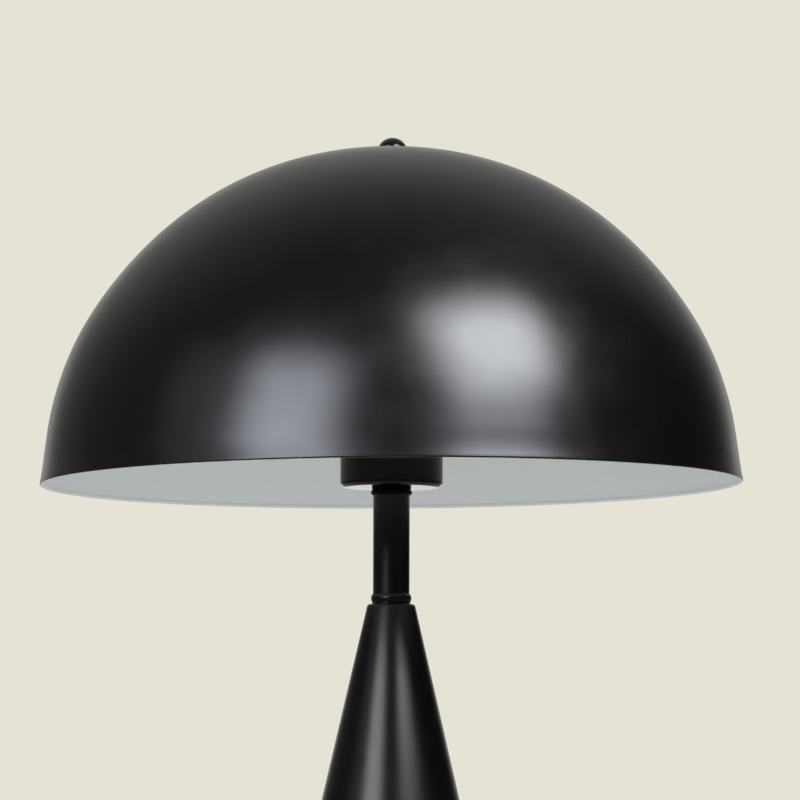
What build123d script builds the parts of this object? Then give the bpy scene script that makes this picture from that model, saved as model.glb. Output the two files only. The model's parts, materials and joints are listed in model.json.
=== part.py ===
from build123d import *
import math
import os

# Mushroom floor lamp: a wide spun dome on a harp, over a short stem and a tall cone foot.
# Millimetres. +Z is up, the lamp's axis is Z and the floor is Z = 0. The front faces -Y.

# --- Driving dimensions ---------------------------------------------------------------

# Clearances
seam = 0.05  # between fixed pieces that fit into each other
rest_gap = 0.3  # under a piece that lifts off its seat
turning_gap = 0.05  # on the radius, between a shaft and the bore it runs in

# Rubber edging under the cone
edging_base = 3.0  # rubber between the sheet's edge and the floor
edging_grip = 5.0  # how far the edging reaches up the sheet
edging_wall = 1.8

# Spun steel cone
cone_height = 800.0
cone_top_radius = 16.2  # where the straight side would meet the flat top
cone_half_angle = 13.0
cone_wall = 1.2
cone_shoulder = 1.9  # rounding of the top edge

# Weighted base
ledge_width = 12.0  # ring welded inside the cone, which stands on the base plate
ledge_thickness = 2.0
ledge_lift = 0.5  # above the edging
plate_thickness = 2.5
pad_thickness = 2.5
pad_margin = 8.0
ballast_radius = 150.0
ballast_thickness = 12.0
ballast_chamfer = 2.0
boss_radius = 18.0
boss_height = 10.0
base_screw_count = 3
base_screw_circle = 110.0
base_screw_radius = 3.0
base_screw_head_radius = 6.0
base_screw_head_height = 3.0
base_screw_length = 11.0

# Hollow rod that ties the lamp together
rod_radius = 5.0
rod_bore = 3.5
nut_across_flats = 14.0
nut_height = 4.0
plug_height = 20.0  # turned plug inside the cone's top

# Cord outlet at the back of the cone
outlet_height = 40.0
outlet_bore = 3.6
outlet_neck_radius = 5.9
outlet_flange_radius = 8.0
outlet_flange_thickness = 2.0
outlet_nut_across_flats = 16.0
outlet_nut_height = 4.0
outlet_neck_end = 2.0  # thread beyond the nut

# Stem and its collars
seat_radius = 13.0
seat_height = 1.2
lower_collar_height = 5.6
lower_collar_radius = 13.85
lower_collar_edge = 13.1
lower_collar_socket = 3.0  # depth that the stem stands in
stem_radius = 12.5
stem_wall = 1.5
stem_visible_length = 67.9
upper_collar_height = 3.4
upper_collar_radius = 14.15
upper_collar_edge = 13.2
upper_collar_socket = 2.0
neck_radius = 13.4
neck_height = 1.6

# Cup round the lampholder
cup_radius = 35.0
cup_wall = 1.0
cup_height = 40.0
cup_corner = 3.8
cup_lip = 0.4

# Harp saddle and the washers over it
saddle_length = 61.0
saddle_width = 14.0
saddle_thickness = 1.5
ear_offset = 24.1  # from the axis to the ear's inner face
ear_width = 5.0
ear_height = 12.0
ear_window = 9.0  # slot that the ear was bent out of
tag_radius = 7.5
tag_thickness = 0.8
tag_tail_length = 15.0
tag_tail_width = 5.0
lock_washer_radius = 8.5
lock_washer_thickness = 1.0

# Lampholder for a 27 mm screw cap
holder_gap = 0.5  # over the nut
holder_entry_radius = 8.0
holder_entry_height = 4.0
holder_thread_depth = 9.0  # rod inside the entry
holder_radius = 19.5
holder_shoulder_height = 16.0
holder_band_height = 3.0
holder_neck_radius = 17.6
holder_neck_height = 6.0
holder_wall = 2.0
insert_height = 10.0
insert_sink = 8.0  # how far the insert stands inside the neck
skirt_wall = 2.2
skirt_height = 30.0
skirt_lip_height = 1.6
skirt_mouth_gap = 0.6  # between the bulb's cap and the mouth
shell_wall = 0.4
shell_height = 20.0
shell_gap = 0.25  # between the bulb's thread and the shell
shell_floor_bore = 9.0
contact_width = 5.0
contact_length = 13.0
contact_thickness = 0.6
contact_rise = 1.6  # dimple under the bulb's tip
contact_travel = 1.2
contact_pin_radius = 1.2
contact_pin_length = 6.0
terminal_screw_count = 2
terminal_screw_circle = 9.0
terminal_screw_radius = 1.5
terminal_head_radius = 2.6
terminal_head_height = 1.8
terminal_screw_depth = 4.0

# Screw-cap bulb, 60 mm across and 110 mm long
bulb_cap_radius = 13.1
bulb_cap_height = 21.0
bulb_tip_radius = 4.8
bulb_tip_height = 1.0
bulb_insulator_height = 5.0
bulb_neck_radius = 14.4
bulb_radius = 30.0
bulb_housing_height = 30.0
bulb_diffuser_height = 53.0
bulb_diffuser_wall = 1.2

# Harp: one bent wire with a stud on top, held down by two sliding ferrules
harp_height = 227.75  # from the foot of a leg to the shade's seat
harp_half_width = 57.0
harp_wire_radius = 1.8
harp_leg_height = 36.0
harp_flare_angle = 45.0
harp_side_length = 22.0
harp_shoulder_angle = 45.0
harp_crown_straight = 8.5
stud_base_radius = 7.5
stud_base_height = 7.4
stud_radius = 3.0
stud_engagement = 5.6  # thread inside the finial
ferrule_height = 12.0
ferrule_wall = 0.8

# Spun dome
dome_radius = 239.1  # outer surface
dome_rise = 231.45  # apex above the rim
dome_wall = 1.0
rim_bead_radius = 1.1
shade_hole_radius = 5.2
shade_washer_radius = 16.0
shade_washer_thickness = 1.5

# Finial
finial_washer_radius = 9.4
finial_washer_thickness = 0.7
finial_dome_radius = 10.6
finial_height = 7.25
finial_edge_height = 0.5

# --- Levels, from the floor up --------------------------------------------------------

cone_slope = math.tan(math.radians(cone_half_angle))
cone_sheet = cone_wall / math.cos(math.radians(cone_half_angle))  # wall measured level
cone_foot = edging_base
cone_top = cone_foot + cone_height

edging_top = edging_base + edging_grip
ledge_bottom = edging_top + ledge_lift
plate_bottom = ledge_bottom - plate_thickness
ballast_bottom = ledge_bottom
boss_top = ballast_bottom + ballast_thickness + boss_height

seat_top = cone_top + seat_height
lower_collar_top = seat_top + lower_collar_height
upper_collar_bottom = lower_collar_top + stem_visible_length
upper_collar_top = upper_collar_bottom + upper_collar_height
cup_bottom = upper_collar_top + neck_height
cup_floor = cup_bottom + cup_wall
saddle_top = cup_floor + saddle_thickness
tag_top = saddle_top + tag_thickness
lock_washer_top = tag_top + lock_washer_thickness
clamp_nut_top = lock_washer_top + nut_height

holder_base = clamp_nut_top + holder_gap
rod_top = holder_base + holder_thread_depth
holder_shoulder = holder_base + holder_shoulder_height + holder_band_height
holder_neck_top = holder_shoulder + holder_neck_height
insert_bottom = holder_neck_top - insert_sink
insert_top = insert_bottom + insert_height
shell_bore = bulb_cap_radius + shell_gap
contact_top = insert_top + contact_rise
skirt_bottom = holder_shoulder + seam
skirt_top = skirt_bottom + skirt_height

bulb_bottom = contact_top + rest_gap
bulb_insulator_bottom = bulb_bottom + bulb_tip_height
bulb_cap_bottom = bulb_insulator_bottom + bulb_insulator_height
bulb_cap_top = bulb_cap_bottom + bulb_cap_height
bulb_widest = bulb_cap_top + bulb_housing_height

harp_bottom = saddle_top + rest_gap
harp_seat = harp_bottom + harp_height
ear_outer = ear_offset + saddle_thickness
harp_leg_offset = ear_outer + 0.2 + harp_wire_radius

shade_washer_bottom = harp_seat + rest_gap
dome_apex = shade_washer_bottom + shade_washer_thickness + dome_wall
dome_rim = dome_apex - dome_rise
dome_centre = dome_apex - dome_radius
finial_washer_bottom = dome_apex + rest_gap
finial_bottom = finial_washer_bottom + finial_washer_thickness + rest_gap
stud_top = finial_bottom + stud_engagement


# --- Helpers --------------------------------------------------------------------------

BOTTOM = (Align.CENTER, Align.CENTER, Align.MIN)


def post(radius, bottom, height):
    """A round bar on the lamp's axis."""
    return Pos(0, 0, bottom) * Cylinder(radius, height, align=BOTTOM)


def ring(radius, bore, bottom, height):
    """A flat ring or a tube on the lamp's axis."""
    return post(radius, bottom, height) - post(bore, bottom, height)


def turned(*edges):
    """The solid that a closed outline sweeps round the axis. Points are (radius, height)."""
    return revolve(Plane.XZ * make_face(edges), Axis.Z)


def hex_nut(across_flats, bore, bottom, height):
    """A hexagonal nut with the corners of its two faces turned off."""
    prism = extrude(RegularPolygon(across_flats / 2, 6, major_radius=False), height)
    corner = across_flats / math.sqrt(3)
    turned_off = chamfer(post(corner, 0, height).edges(), corner - across_flats / 2)
    return Pos(0, 0, bottom) * ((prism & turned_off) - post(bore, 0, height))


def cone_outer(level):
    """The cone's outer radius at a level."""
    return cone_top_radius + (cone_top - level) * cone_slope


def cone_inner(level):
    return cone_outer(level) - cone_sheet


def level_points(radius_at, *levels, offset=0.0):
    """Points up a sloping face that stays a level distance outside the given radius."""
    return [(radius_at(level) + offset, level) for level in levels]


# --- Foot and cone --------------------------------------------------------------------


def foot_edging():
    """Rubber edging with a slot that the cone's edge stands in."""
    wall = edging_wall / math.cos(math.radians(cone_half_angle))
    outside = level_points(cone_outer, 0, edging_top, offset=wall)
    slot_outside = level_points(cone_outer, edging_top, edging_base, offset=seam)
    slot_inside = level_points(cone_inner, edging_base, edging_top, offset=-seam)
    inside = level_points(cone_inner, edging_top, 0, offset=-wall)
    return turned(Polyline(*outside, *slot_outside, *slot_inside, *inside, close=True))


def plate_radius():
    """The base plate stays inside the edging."""
    return cone_inner(ledge_bottom) - edging_wall * 1.1 - ledge_lift


def base_screw_places():
    return PolarLocations(base_screw_circle, base_screw_count, start_angle=90)


def base_screws(grow=0.0):
    """Countersunk screws from under the plate into the ballast."""
    head = Cone(
        base_screw_head_radius + grow, base_screw_radius + grow, base_screw_head_height, align=BOTTOM
    )
    shank = Cylinder(base_screw_radius + grow, base_screw_length + grow, align=BOTTOM)
    screw = Pos(0, 0, plate_bottom) * (head + shank)
    return Part() + [place * screw for place in base_screw_places()]


def base_plate():
    """Steel disc under the ballast. The cone's ledge stands on its rim."""
    return post(plate_radius(), plate_bottom, plate_thickness) - base_screws(seam)


def base_pad():
    """Felt disc on the plate's underside, with a hole at each screw."""
    pad = post(plate_radius() - pad_margin, plate_bottom - pad_thickness, pad_thickness)
    hole = Pos(0, 0, plate_bottom - pad_thickness) * Cylinder(
        base_screw_head_radius + 1, pad_thickness, align=BOTTOM
    )
    return pad - [place * hole for place in base_screw_places()]


def ballast_disc():
    """Cast iron disc with a boss, tapped for the tie rod."""
    disc = post(ballast_radius, ballast_bottom, ballast_thickness)
    disc = chamfer(disc.edges().group_by(Axis.Z)[-1], ballast_chamfer)
    boss = post(boss_radius, ballast_bottom, boss_top - ballast_bottom)
    bore = post(rod_radius + seam, ballast_bottom, boss_top - ballast_bottom)
    return disc + boss - bore - base_screws(seam)


def ledge_ring():
    """Ring inside the cone, which carries the cone on the base plate."""
    ledge_top = ledge_bottom + ledge_thickness
    outside = level_points(cone_inner, ledge_bottom, ledge_top, offset=-seam)
    bore = cone_inner(ledge_bottom) - ledge_width
    return turned(Polyline(*outside, (bore, ledge_top), (bore, ledge_bottom), close=True))


def outlet_plane():
    """Where the outlet's axis leaves the back of the cone, square to its side."""
    tilt = math.radians(cone_half_angle)
    return Plane(
        origin=(0, cone_outer(outlet_height), outlet_height),
        x_dir=(1, 0, 0),
        z_dir=(0, math.cos(tilt), math.sin(tilt)),
    )


def cone_shell():
    """Thin spun cone, open below, with a rounded top edge and a flat top."""
    outside = Pos(0, 0, cone_foot) * Cone(cone_outer(cone_foot), cone_top_radius, cone_height, align=BOTTOM)
    outside = fillet(outside.edges().group_by(Axis.Z)[-1], cone_shoulder)
    inner_top = cone_top - cone_wall
    inside = Pos(0, 0, cone_foot) * Cone(
        cone_inner(cone_foot), cone_inner(inner_top), inner_top - cone_foot, align=BOTTOM
    )
    drill = outlet_plane() * Cylinder(outlet_neck_radius + seam, 6 * cone_wall)
    return outside - inside - post(rod_radius + seam, inner_top, cone_wall) - drill


def cone_plug():
    """Turned plug under the cone's top, which spreads the rod's pull."""
    top = cone_top - cone_wall
    bottom = top - plug_height
    outside = level_points(cone_inner, bottom, top, offset=-seam)
    bore = rod_radius + seam
    return turned(Polyline((bore, bottom), *outside, (bore, top), close=True))


def surface_drop(radius, face_radius):
    """How far a round face of this size leaves a cylinder's surface at its edge."""
    return face_radius - math.sqrt(face_radius**2 - radius**2)


def outlet_bush():
    """Flanged bush that the cord passes through, threaded for a nut inside the cone."""
    neck_length = cone_wall + outlet_nut_height + outlet_neck_end
    flange = post(outlet_flange_radius, 0, outlet_flange_thickness)
    flange = fillet(flange.edges().group_by(Axis.Z)[-1], outlet_flange_thickness / 2)
    neck = post(outlet_neck_radius, -neck_length, neck_length)
    bore = post(outlet_bore, -neck_length, neck_length + outlet_flange_thickness)
    return outlet_plane() * (flange + neck - bore)


def outlet_nut():
    corner = outlet_nut_across_flats / math.sqrt(3)
    drop = surface_drop(corner, cone_inner(outlet_height))
    bottom = -cone_wall - drop - outlet_nut_height
    nut = hex_nut(outlet_nut_across_flats, outlet_neck_radius + seam, bottom, outlet_nut_height)
    return outlet_plane() * nut


def tie_rod():
    """Hollow threaded rod from the ballast up to the lampholder."""
    return ring(rod_radius, rod_bore, ballast_bottom, rod_top - ballast_bottom)


# --- Stem -----------------------------------------------------------------------------


def bead_collar(edge, widest, bottom, height):
    """A collar whose side is one round bead."""
    side = ThreePointArc((edge, bottom), (widest, bottom + height / 2), (edge, bottom + height))
    bore = rod_radius + seam
    back = Polyline((edge, bottom + height), (bore, bottom + height), (bore, bottom), (edge, bottom))
    return turned(side, back)


def seat_washer():
    return ring(seat_radius, rod_radius + seam, cone_top, seat_height)


def lower_collar():
    collar = bead_collar(lower_collar_edge, lower_collar_radius, seat_top, lower_collar_height)
    socket = lower_collar_top - lower_collar_socket
    return collar - post(stem_radius + seam, socket, lower_collar_socket)


def upper_collar():
    collar = bead_collar(upper_collar_edge, upper_collar_radius, upper_collar_bottom, upper_collar_height)
    return collar - post(stem_radius + seam, upper_collar_bottom, upper_collar_socket)


def stem_tube():
    bottom = lower_collar_top - lower_collar_socket
    top = upper_collar_bottom + upper_collar_socket
    return ring(stem_radius, stem_radius - stem_wall, bottom, top - bottom)


def neck_spacer():
    return ring(neck_radius, rod_radius + seam, upper_collar_top, neck_height)


# --- Cup and what is clamped in it ----------------------------------------------------


def socket_cup():
    """Spun cup, open above, with a rounded bottom corner and a soft top edge."""
    outside = post(cup_radius, cup_bottom, cup_height)
    outside = fillet(outside.edges().group_by(Axis.Z)[0], cup_corner)
    inside = post(cup_radius - cup_wall, cup_floor, cup_height - cup_wall)
    inside = fillet(inside.edges().group_by(Axis.Z)[0], cup_corner - cup_wall)
    cup = outside - inside
    cup = fillet(cup.edges().group_by(Axis.Z)[-1], cup_lip)
    return cup - post(rod_radius + seam, cup_bottom, cup_wall)


def harp_saddle():
    """Steel strip under the nut, with two ears bent up for the harp's legs."""
    strip = extrude(SlotOverall(saddle_length, saddle_width), saddle_thickness)
    saddle = Pos(0, 0, cup_floor) * strip
    saddle -= post(rod_radius + seam, cup_floor, saddle_thickness)
    for side in (1, -1):
        ear_centre = side * (ear_offset + saddle_thickness / 2)
        window = Pos(side * (ear_offset - ear_window / 2), 0, cup_floor) * Box(
            ear_window, ear_width, saddle_thickness, align=BOTTOM
        )
        ear = Pos(ear_centre, 0, cup_floor) * Box(
            saddle_thickness, ear_width, saddle_thickness + ear_height, align=BOTTOM
        )
        tip = ear.edges().filter_by(Axis.X).group_by(Axis.Z)[-1]
        saddle = saddle - window + fillet(tip, ear_width * 0.4)
    return saddle


def earth_tag():
    """Ring terminal with a tail that points to the front."""
    disc = Circle(tag_radius)
    tail = Pos(0, -tag_tail_length / 2) * Rectangle(tag_tail_width, tag_tail_length)
    eye = Pos(0, -tag_tail_length + tag_tail_width / 2) * Circle(tag_tail_width / 4)
    tag = disc + tail - Circle(rod_radius + seam) - eye
    return Pos(0, 0, saddle_top) * extrude(tag, tag_thickness)


def lock_washer():
    return ring(lock_washer_radius, rod_radius + seam, tag_top, lock_washer_thickness)


def clamp_nut():
    return hex_nut(nut_across_flats, rod_radius + seam, lock_washer_top, nut_height)


def rod_lock_nut():
    return hex_nut(nut_across_flats, rod_radius + seam, boss_top, nut_height)


# --- Lampholder -----------------------------------------------------------------------


def holder_cap():
    """Lower half of the lampholder: a threaded entry that opens into a bell."""
    base = holder_base
    entry_top = base + holder_entry_height
    shoulder = base + holder_shoulder_height
    bell = JernArc((holder_radius, shoulder), (0, -1), holder_shoulder_height * 0.6, -60)
    entry = Line((holder_entry_radius, base), (holder_entry_radius, entry_top))
    outside = Polyline(
        (holder_radius, shoulder),
        (holder_radius, holder_shoulder),
        (holder_neck_radius, holder_shoulder),
        (holder_neck_radius, holder_neck_top),
        (holder_neck_radius - holder_wall, holder_neck_top),
        (holder_neck_radius - holder_wall, insert_bottom),
        (holder_neck_radius - 2 * holder_wall, insert_bottom),
        (rod_radius + 1, rod_top),
        (rod_radius + turning_gap, rod_top),
        (rod_radius + turning_gap, base),
        (holder_entry_radius, base),
    )
    return turned(bell, Line(bell @ 1, entry @ 1), entry, outside)


def terminal_places():
    return PolarLocations(terminal_screw_circle, terminal_screw_count, start_angle=90)


def terminal_screws(grow=0.0):
    """Screws under the insert, for the two leads."""
    shank = Cylinder(terminal_screw_radius + grow, terminal_screw_depth + grow, align=BOTTOM)
    head = Pos(0, 0, -terminal_head_height) * Cylinder(
        terminal_head_radius, terminal_head_height, align=BOTTOM
    )
    screw = Pos(0, 0, insert_bottom) * (shank + head)
    return Part() + [place * screw for place in terminal_places()]


def contact_body(grow=0.0, drop=0.0):
    """The centre contact: a leaf with a raised middle and a guide pin under it."""
    leaf = Box(contact_length + 2 * grow, contact_width + 2 * grow, contact_thickness, align=BOTTOM)
    raised = contact_top - contact_thickness
    dimple = Cylinder(contact_width / 2, contact_rise - contact_thickness, align=BOTTOM)
    top = Cylinder(contact_width / 2 - 0.4, contact_thickness, align=BOTTOM)
    pin = Pos(0, 0, insert_top - contact_pin_length - drop) * Cylinder(
        contact_pin_radius + grow, contact_pin_length + drop, align=BOTTOM
    )
    stem = Pos(0, 0, insert_top) * dimple
    return Pos(0, 0, insert_top) * leaf + stem + Pos(0, 0, raised) * top + pin


def holder_insert():
    """Ceramic block that carries the contacts, with a well for the centre one."""
    radius = holder_neck_radius - holder_wall - seam
    block = post(radius, insert_bottom, insert_height)
    well_depth = contact_travel + rest_gap
    well = Pos(0, 0, insert_top - well_depth) * Box(
        contact_length + 2 * rest_gap, contact_width + 2 * rest_gap, well_depth, align=BOTTOM
    )
    guide = post(contact_pin_radius + turning_gap, insert_bottom, insert_height)
    return block - well - guide - terminal_screws(seam)


def centre_contact():
    return contact_body()


def screw_shell():
    """Thin brass sleeve that the bulb's cap screws into, with a floor on the insert."""
    tube = ring(shell_bore + shell_wall, shell_bore, insert_top, shell_height)
    floor = ring(shell_bore + shell_wall, shell_floor_bore, insert_top, shell_wall)
    return tube + floor


def holder_skirt():
    """Upper half of the lampholder, screwed over the neck of the lower half."""
    bore = holder_neck_radius + seam
    outer = bore + skirt_wall
    mouth = shell_bore + shell_wall + skirt_mouth_gap
    tube = ring(outer, bore, skirt_bottom, skirt_height)
    lip = ring(outer, mouth, skirt_top - skirt_lip_height, skirt_lip_height)
    skirt = tube + lip
    return fillet(skirt.edges().group_by(Axis.Z)[-1].sort_by(SortBy.RADIUS)[-1], skirt_lip_height / 2)


# --- Bulb -----------------------------------------------------------------------------


def bulb_tip():
    return post(bulb_tip_radius, bulb_bottom, bulb_tip_height)


def bulb_insulator():
    return Pos(0, 0, bulb_insulator_bottom) * Cone(
        bulb_tip_radius + 0.4, bulb_cap_radius - 1.2, bulb_insulator_height, align=BOTTOM
    )


def bulb_cap():
    cap = post(bulb_cap_radius, bulb_cap_bottom, bulb_cap_height)
    return chamfer(cap.edges().group_by(Axis.Z)[0], 1.0)


def bulb_housing():
    """Cap-side half of the bulb, swelling from the neck to the widest part."""
    side = ThreePointArc(
        (bulb_neck_radius, bulb_cap_top),
        ((bulb_neck_radius + bulb_radius) / 2 - 1.5, bulb_cap_top + bulb_housing_height * 0.56),
        (bulb_radius, bulb_widest),
    )
    return turned(side, Polyline((bulb_radius, bulb_widest), (0, bulb_widest), (0, bulb_cap_top), side @ 0))


def diffuser_profile(radius, rise):
    """A straight stretch under a quarter of a circle, closed along the axis."""
    shoulder = bulb_widest + rise - radius
    dome = RadiusArc((radius, shoulder), (0, bulb_widest + rise), -radius)
    return turned(
        Line((radius, bulb_widest), (radius, shoulder)),
        dome,
        Polyline((0, bulb_widest + rise), (0, bulb_widest), (radius, bulb_widest)),
    )


def bulb_diffuser():
    """Opal globe, closed below by the housing."""
    outside = diffuser_profile(bulb_radius, bulb_diffuser_height)
    inside = diffuser_profile(bulb_radius - bulb_diffuser_wall, bulb_diffuser_height - bulb_diffuser_wall)
    return outside - inside


# --- Harp -----------------------------------------------------------------------------


def harp_half_path():
    """Right half of the wire's centre line: leg, flare, side, shoulder, crown."""
    flare = math.radians(harp_flare_angle)
    bend = math.radians(harp_shoulder_angle)
    flare_radius = (harp_half_width - harp_leg_offset) / (2 * (1 - math.cos(flare)))
    crown_level = harp_seat - stud_base_height / 2
    side_top = harp_bottom + harp_leg_height + 2 * flare_radius * math.sin(flare) + harp_side_length
    # The two upper radii close the outline: one equation for the width, one for the height.
    width = harp_half_width - harp_crown_straight
    height = crown_level - side_top
    a, b = 1 - math.cos(bend), math.cos(bend)
    c, d = math.sin(bend), 1 - math.sin(bend)
    shoulder_radius = (width * d - b * height) / (a * d - b * c)
    crown_radius = (a * height - width * c) / (a * d - b * c)

    leg = Line((harp_leg_offset, harp_bottom), (harp_leg_offset, harp_bottom + harp_leg_height))
    out = JernArc(leg @ 1, (0, 1), flare_radius, -harp_flare_angle)
    back = JernArc(out @ 1, out % 1, flare_radius, harp_flare_angle)
    side = Line(back @ 1, back @ 1 + Vector(0, harp_side_length))
    shoulder = JernArc(side @ 1, (0, 1), shoulder_radius, harp_shoulder_angle)
    crown = JernArc(shoulder @ 1, shoulder % 1, crown_radius, 90 - harp_shoulder_angle)
    top = Line(crown @ 1, (0, crown_level))
    print(f"harp radii: flare {flare_radius:.1f}, shoulder {shoulder_radius:.1f}, crown {crown_radius:.1f}")
    return [leg, out, back, side, shoulder, crown, top]


def harp_wire():
    """The bent wire, from the foot of one leg to the other."""
    right = [Plane.XZ * piece for piece in harp_half_path()]
    left = [piece.mirror(Plane.YZ) for piece in right]
    path = Wire([edge for piece in right + left for edge in piece.edges()])
    foot = Plane(origin=(harp_leg_offset, 0, harp_bottom), z_dir=(0, 0, 1))
    return sweep(foot * Circle(harp_wire_radius), path=path)


def harp_stud():
    """Cross-drilled block on the wire's crown, with the stud for the finial."""
    base = post(stud_base_radius, harp_seat - stud_base_height, stud_base_height)
    base = chamfer(base.edges(), 0.5)
    hole = Pos(0, 0, harp_seat - stud_base_height / 2) * Rot(0, 90, 0) * Cylinder(
        harp_wire_radius + seam, 2 * stud_base_radius
    )
    return base + post(stud_radius, harp_seat, stud_top - harp_seat) - hole


def ferrule(side):
    """Sleeve that locks a leg to its ear. It slides up the leg to free it."""
    leg_outside = harp_leg_offset + harp_wire_radius
    centre = (ear_offset + leg_outside) / 2
    bore = math.hypot(centre - ear_offset, ear_width / 2) + 0.15
    tube = Pos(side * centre, 0, harp_bottom) * Cylinder(bore + ferrule_wall, ferrule_height, align=BOTTOM)
    return tube - Pos(side * centre, 0, harp_bottom) * Cylinder(bore, ferrule_height, align=BOTTOM)


# --- Shade and finial -----------------------------------------------------------------


def shade_dome():
    """Spun dome of one round curve, with a bead rolled round the rim."""
    inner_radius = dome_radius - dome_wall
    rim_outer = (math.sqrt(dome_radius**2 - (dome_rim - dome_centre) ** 2), dome_rim)
    rim_inner = (math.sqrt(inner_radius**2 - (dome_rim - dome_centre) ** 2), dome_rim)
    inner_apex = dome_apex - dome_wall
    band = turned(
        RadiusArc(rim_outer, (0, dome_apex), -dome_radius),
        Line((0, dome_apex), (0, inner_apex)),
        RadiusArc((0, inner_apex), rim_inner, inner_radius),
        Line(rim_inner, rim_outer),
    )
    bead_centre = (rim_outer[0] - 0.1, dome_rim + rim_bead_radius)
    bead = revolve(Plane.XZ * (Pos(*bead_centre) * Circle(rim_bead_radius)), Axis.Z)
    hole = post(shade_hole_radius, inner_apex - dome_wall, 4 * dome_wall)
    return band + bead - hole


def shade_washer():
    """Stiffening washer under the apex, dished to the dome's inner face."""
    inner_radius = dome_radius - dome_wall - seam
    disc = ring(
        shade_washer_radius, stud_radius + rest_gap, shade_washer_bottom, shade_washer_thickness
    )
    return disc & Pos(0, 0, dome_centre) * Sphere(inner_radius)


def finial_washer():
    return ring(
        finial_washer_radius, stud_radius + rest_gap, finial_washer_bottom, finial_washer_thickness
    )


def finial():
    """Low domed nut with a blind thread."""
    top = finial_bottom + finial_height
    edge_level = finial_bottom + finial_edge_height
    drop = finial_height - finial_edge_height
    edge_radius = math.sqrt(finial_dome_radius**2 - (finial_dome_radius - drop) ** 2)
    body = turned(
        Line((edge_radius, finial_bottom), (edge_radius, edge_level)),
        RadiusArc((edge_radius, edge_level), (0, top), -finial_dome_radius),
        Polyline((0, top), (0, finial_bottom), (edge_radius, finial_bottom)),
    )
    return body - post(stud_radius + turning_gap, finial_bottom, stud_engagement + 2 * rest_gap)


# --- Write every piece ----------------------------------------------------------------

PIECES = {
    "foot_edging": foot_edging,
    "base_pad": base_pad,
    "base_plate": base_plate,
    "base_screws": base_screws,
    "ballast_disc": ballast_disc,
    "ledge_ring": ledge_ring,
    "rod_lock_nut": rod_lock_nut,
    "cone_shell": cone_shell,
    "cone_plug": cone_plug,
    "tie_rod": tie_rod,
    "outlet_bush": outlet_bush,
    "outlet_nut": outlet_nut,
    "seat_washer": seat_washer,
    "lower_collar": lower_collar,
    "stem_tube": stem_tube,
    "upper_collar": upper_collar,
    "neck_spacer": neck_spacer,
    "socket_cup": socket_cup,
    "harp_saddle": harp_saddle,
    "earth_tag": earth_tag,
    "lock_washer": lock_washer,
    "clamp_nut": clamp_nut,
    "holder_cap": holder_cap,
    "holder_insert": holder_insert,
    "terminal_screws": terminal_screws,
    "centre_contact": centre_contact,
    "screw_shell": screw_shell,
    "holder_skirt": holder_skirt,
    "bulb_tip": bulb_tip,
    "bulb_insulator": bulb_insulator,
    "bulb_cap": bulb_cap,
    "bulb_housing": bulb_housing,
    "bulb_diffuser": bulb_diffuser,
    "harp_wire": harp_wire,
    "harp_stud": harp_stud,
    "right_ferrule": lambda: ferrule(1),
    "left_ferrule": lambda: ferrule(-1),
    "shade_dome": shade_dome,
    "shade_washer": shade_washer,
    "finial_washer": finial_washer,
    "finial": finial,
}


def main():
    os.makedirs("parts", exist_ok=True)
    for name, make in PIECES.items():
        export_step(make(), f"parts/{name}.step")
    print(f"rim level {dome_rim:.2f}, overall height {finial_bottom + finial_height:.2f}")


main()
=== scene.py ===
"""Mushroom floor lamp: its visible pieces, their finishes and a plain studio.

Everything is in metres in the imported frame, unless a name says millimetres: +Z is up
along the lamp's axis, the floor is Z = 0 and the front faces -Y. Outlines for the lathe
are drawn in millimetres as (radius, height).
"""

from __future__ import annotations

import json
import logging
import math
from dataclasses import dataclass, field
from enum import StrEnum

import bmesh
import bpy
from bmesh.types import BMesh, BMEdge, BMVert
from mathutils import Matrix, Vector

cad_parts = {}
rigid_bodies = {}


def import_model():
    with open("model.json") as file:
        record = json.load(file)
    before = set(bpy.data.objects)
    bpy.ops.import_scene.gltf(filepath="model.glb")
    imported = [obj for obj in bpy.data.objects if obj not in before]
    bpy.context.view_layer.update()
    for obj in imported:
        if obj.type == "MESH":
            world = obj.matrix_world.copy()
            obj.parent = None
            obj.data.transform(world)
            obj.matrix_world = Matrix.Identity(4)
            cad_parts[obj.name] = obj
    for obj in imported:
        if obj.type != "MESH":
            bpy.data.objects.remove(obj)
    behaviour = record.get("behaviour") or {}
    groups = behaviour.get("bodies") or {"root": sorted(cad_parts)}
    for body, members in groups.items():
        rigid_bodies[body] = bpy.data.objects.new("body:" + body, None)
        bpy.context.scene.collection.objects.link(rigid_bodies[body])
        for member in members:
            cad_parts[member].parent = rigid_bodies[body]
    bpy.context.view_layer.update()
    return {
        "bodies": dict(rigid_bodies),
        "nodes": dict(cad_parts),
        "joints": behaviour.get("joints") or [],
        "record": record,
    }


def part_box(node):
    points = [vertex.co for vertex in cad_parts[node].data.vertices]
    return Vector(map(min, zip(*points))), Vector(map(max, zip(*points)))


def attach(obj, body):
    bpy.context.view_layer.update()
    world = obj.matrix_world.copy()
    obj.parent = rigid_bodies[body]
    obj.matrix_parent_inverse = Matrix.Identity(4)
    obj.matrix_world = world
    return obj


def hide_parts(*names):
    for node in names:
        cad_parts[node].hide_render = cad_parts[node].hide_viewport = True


LOG = logging.getLogger("mushroom_lamp")

MM = 0.001
MERGE = 1e-7
THREAD_CLEARANCE = 0.05

NOISE_BAND = (0.3, 0.7)  # where most of a noise's values lie

Triple = tuple[float, float, float]  # a colour, a place or a stretch
Pair = tuple[float, float]
Socket = bpy.types.NodeSocket
Node = bpy.types.Node


# --- Node trees -------------------------------------------------------------------------


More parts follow.
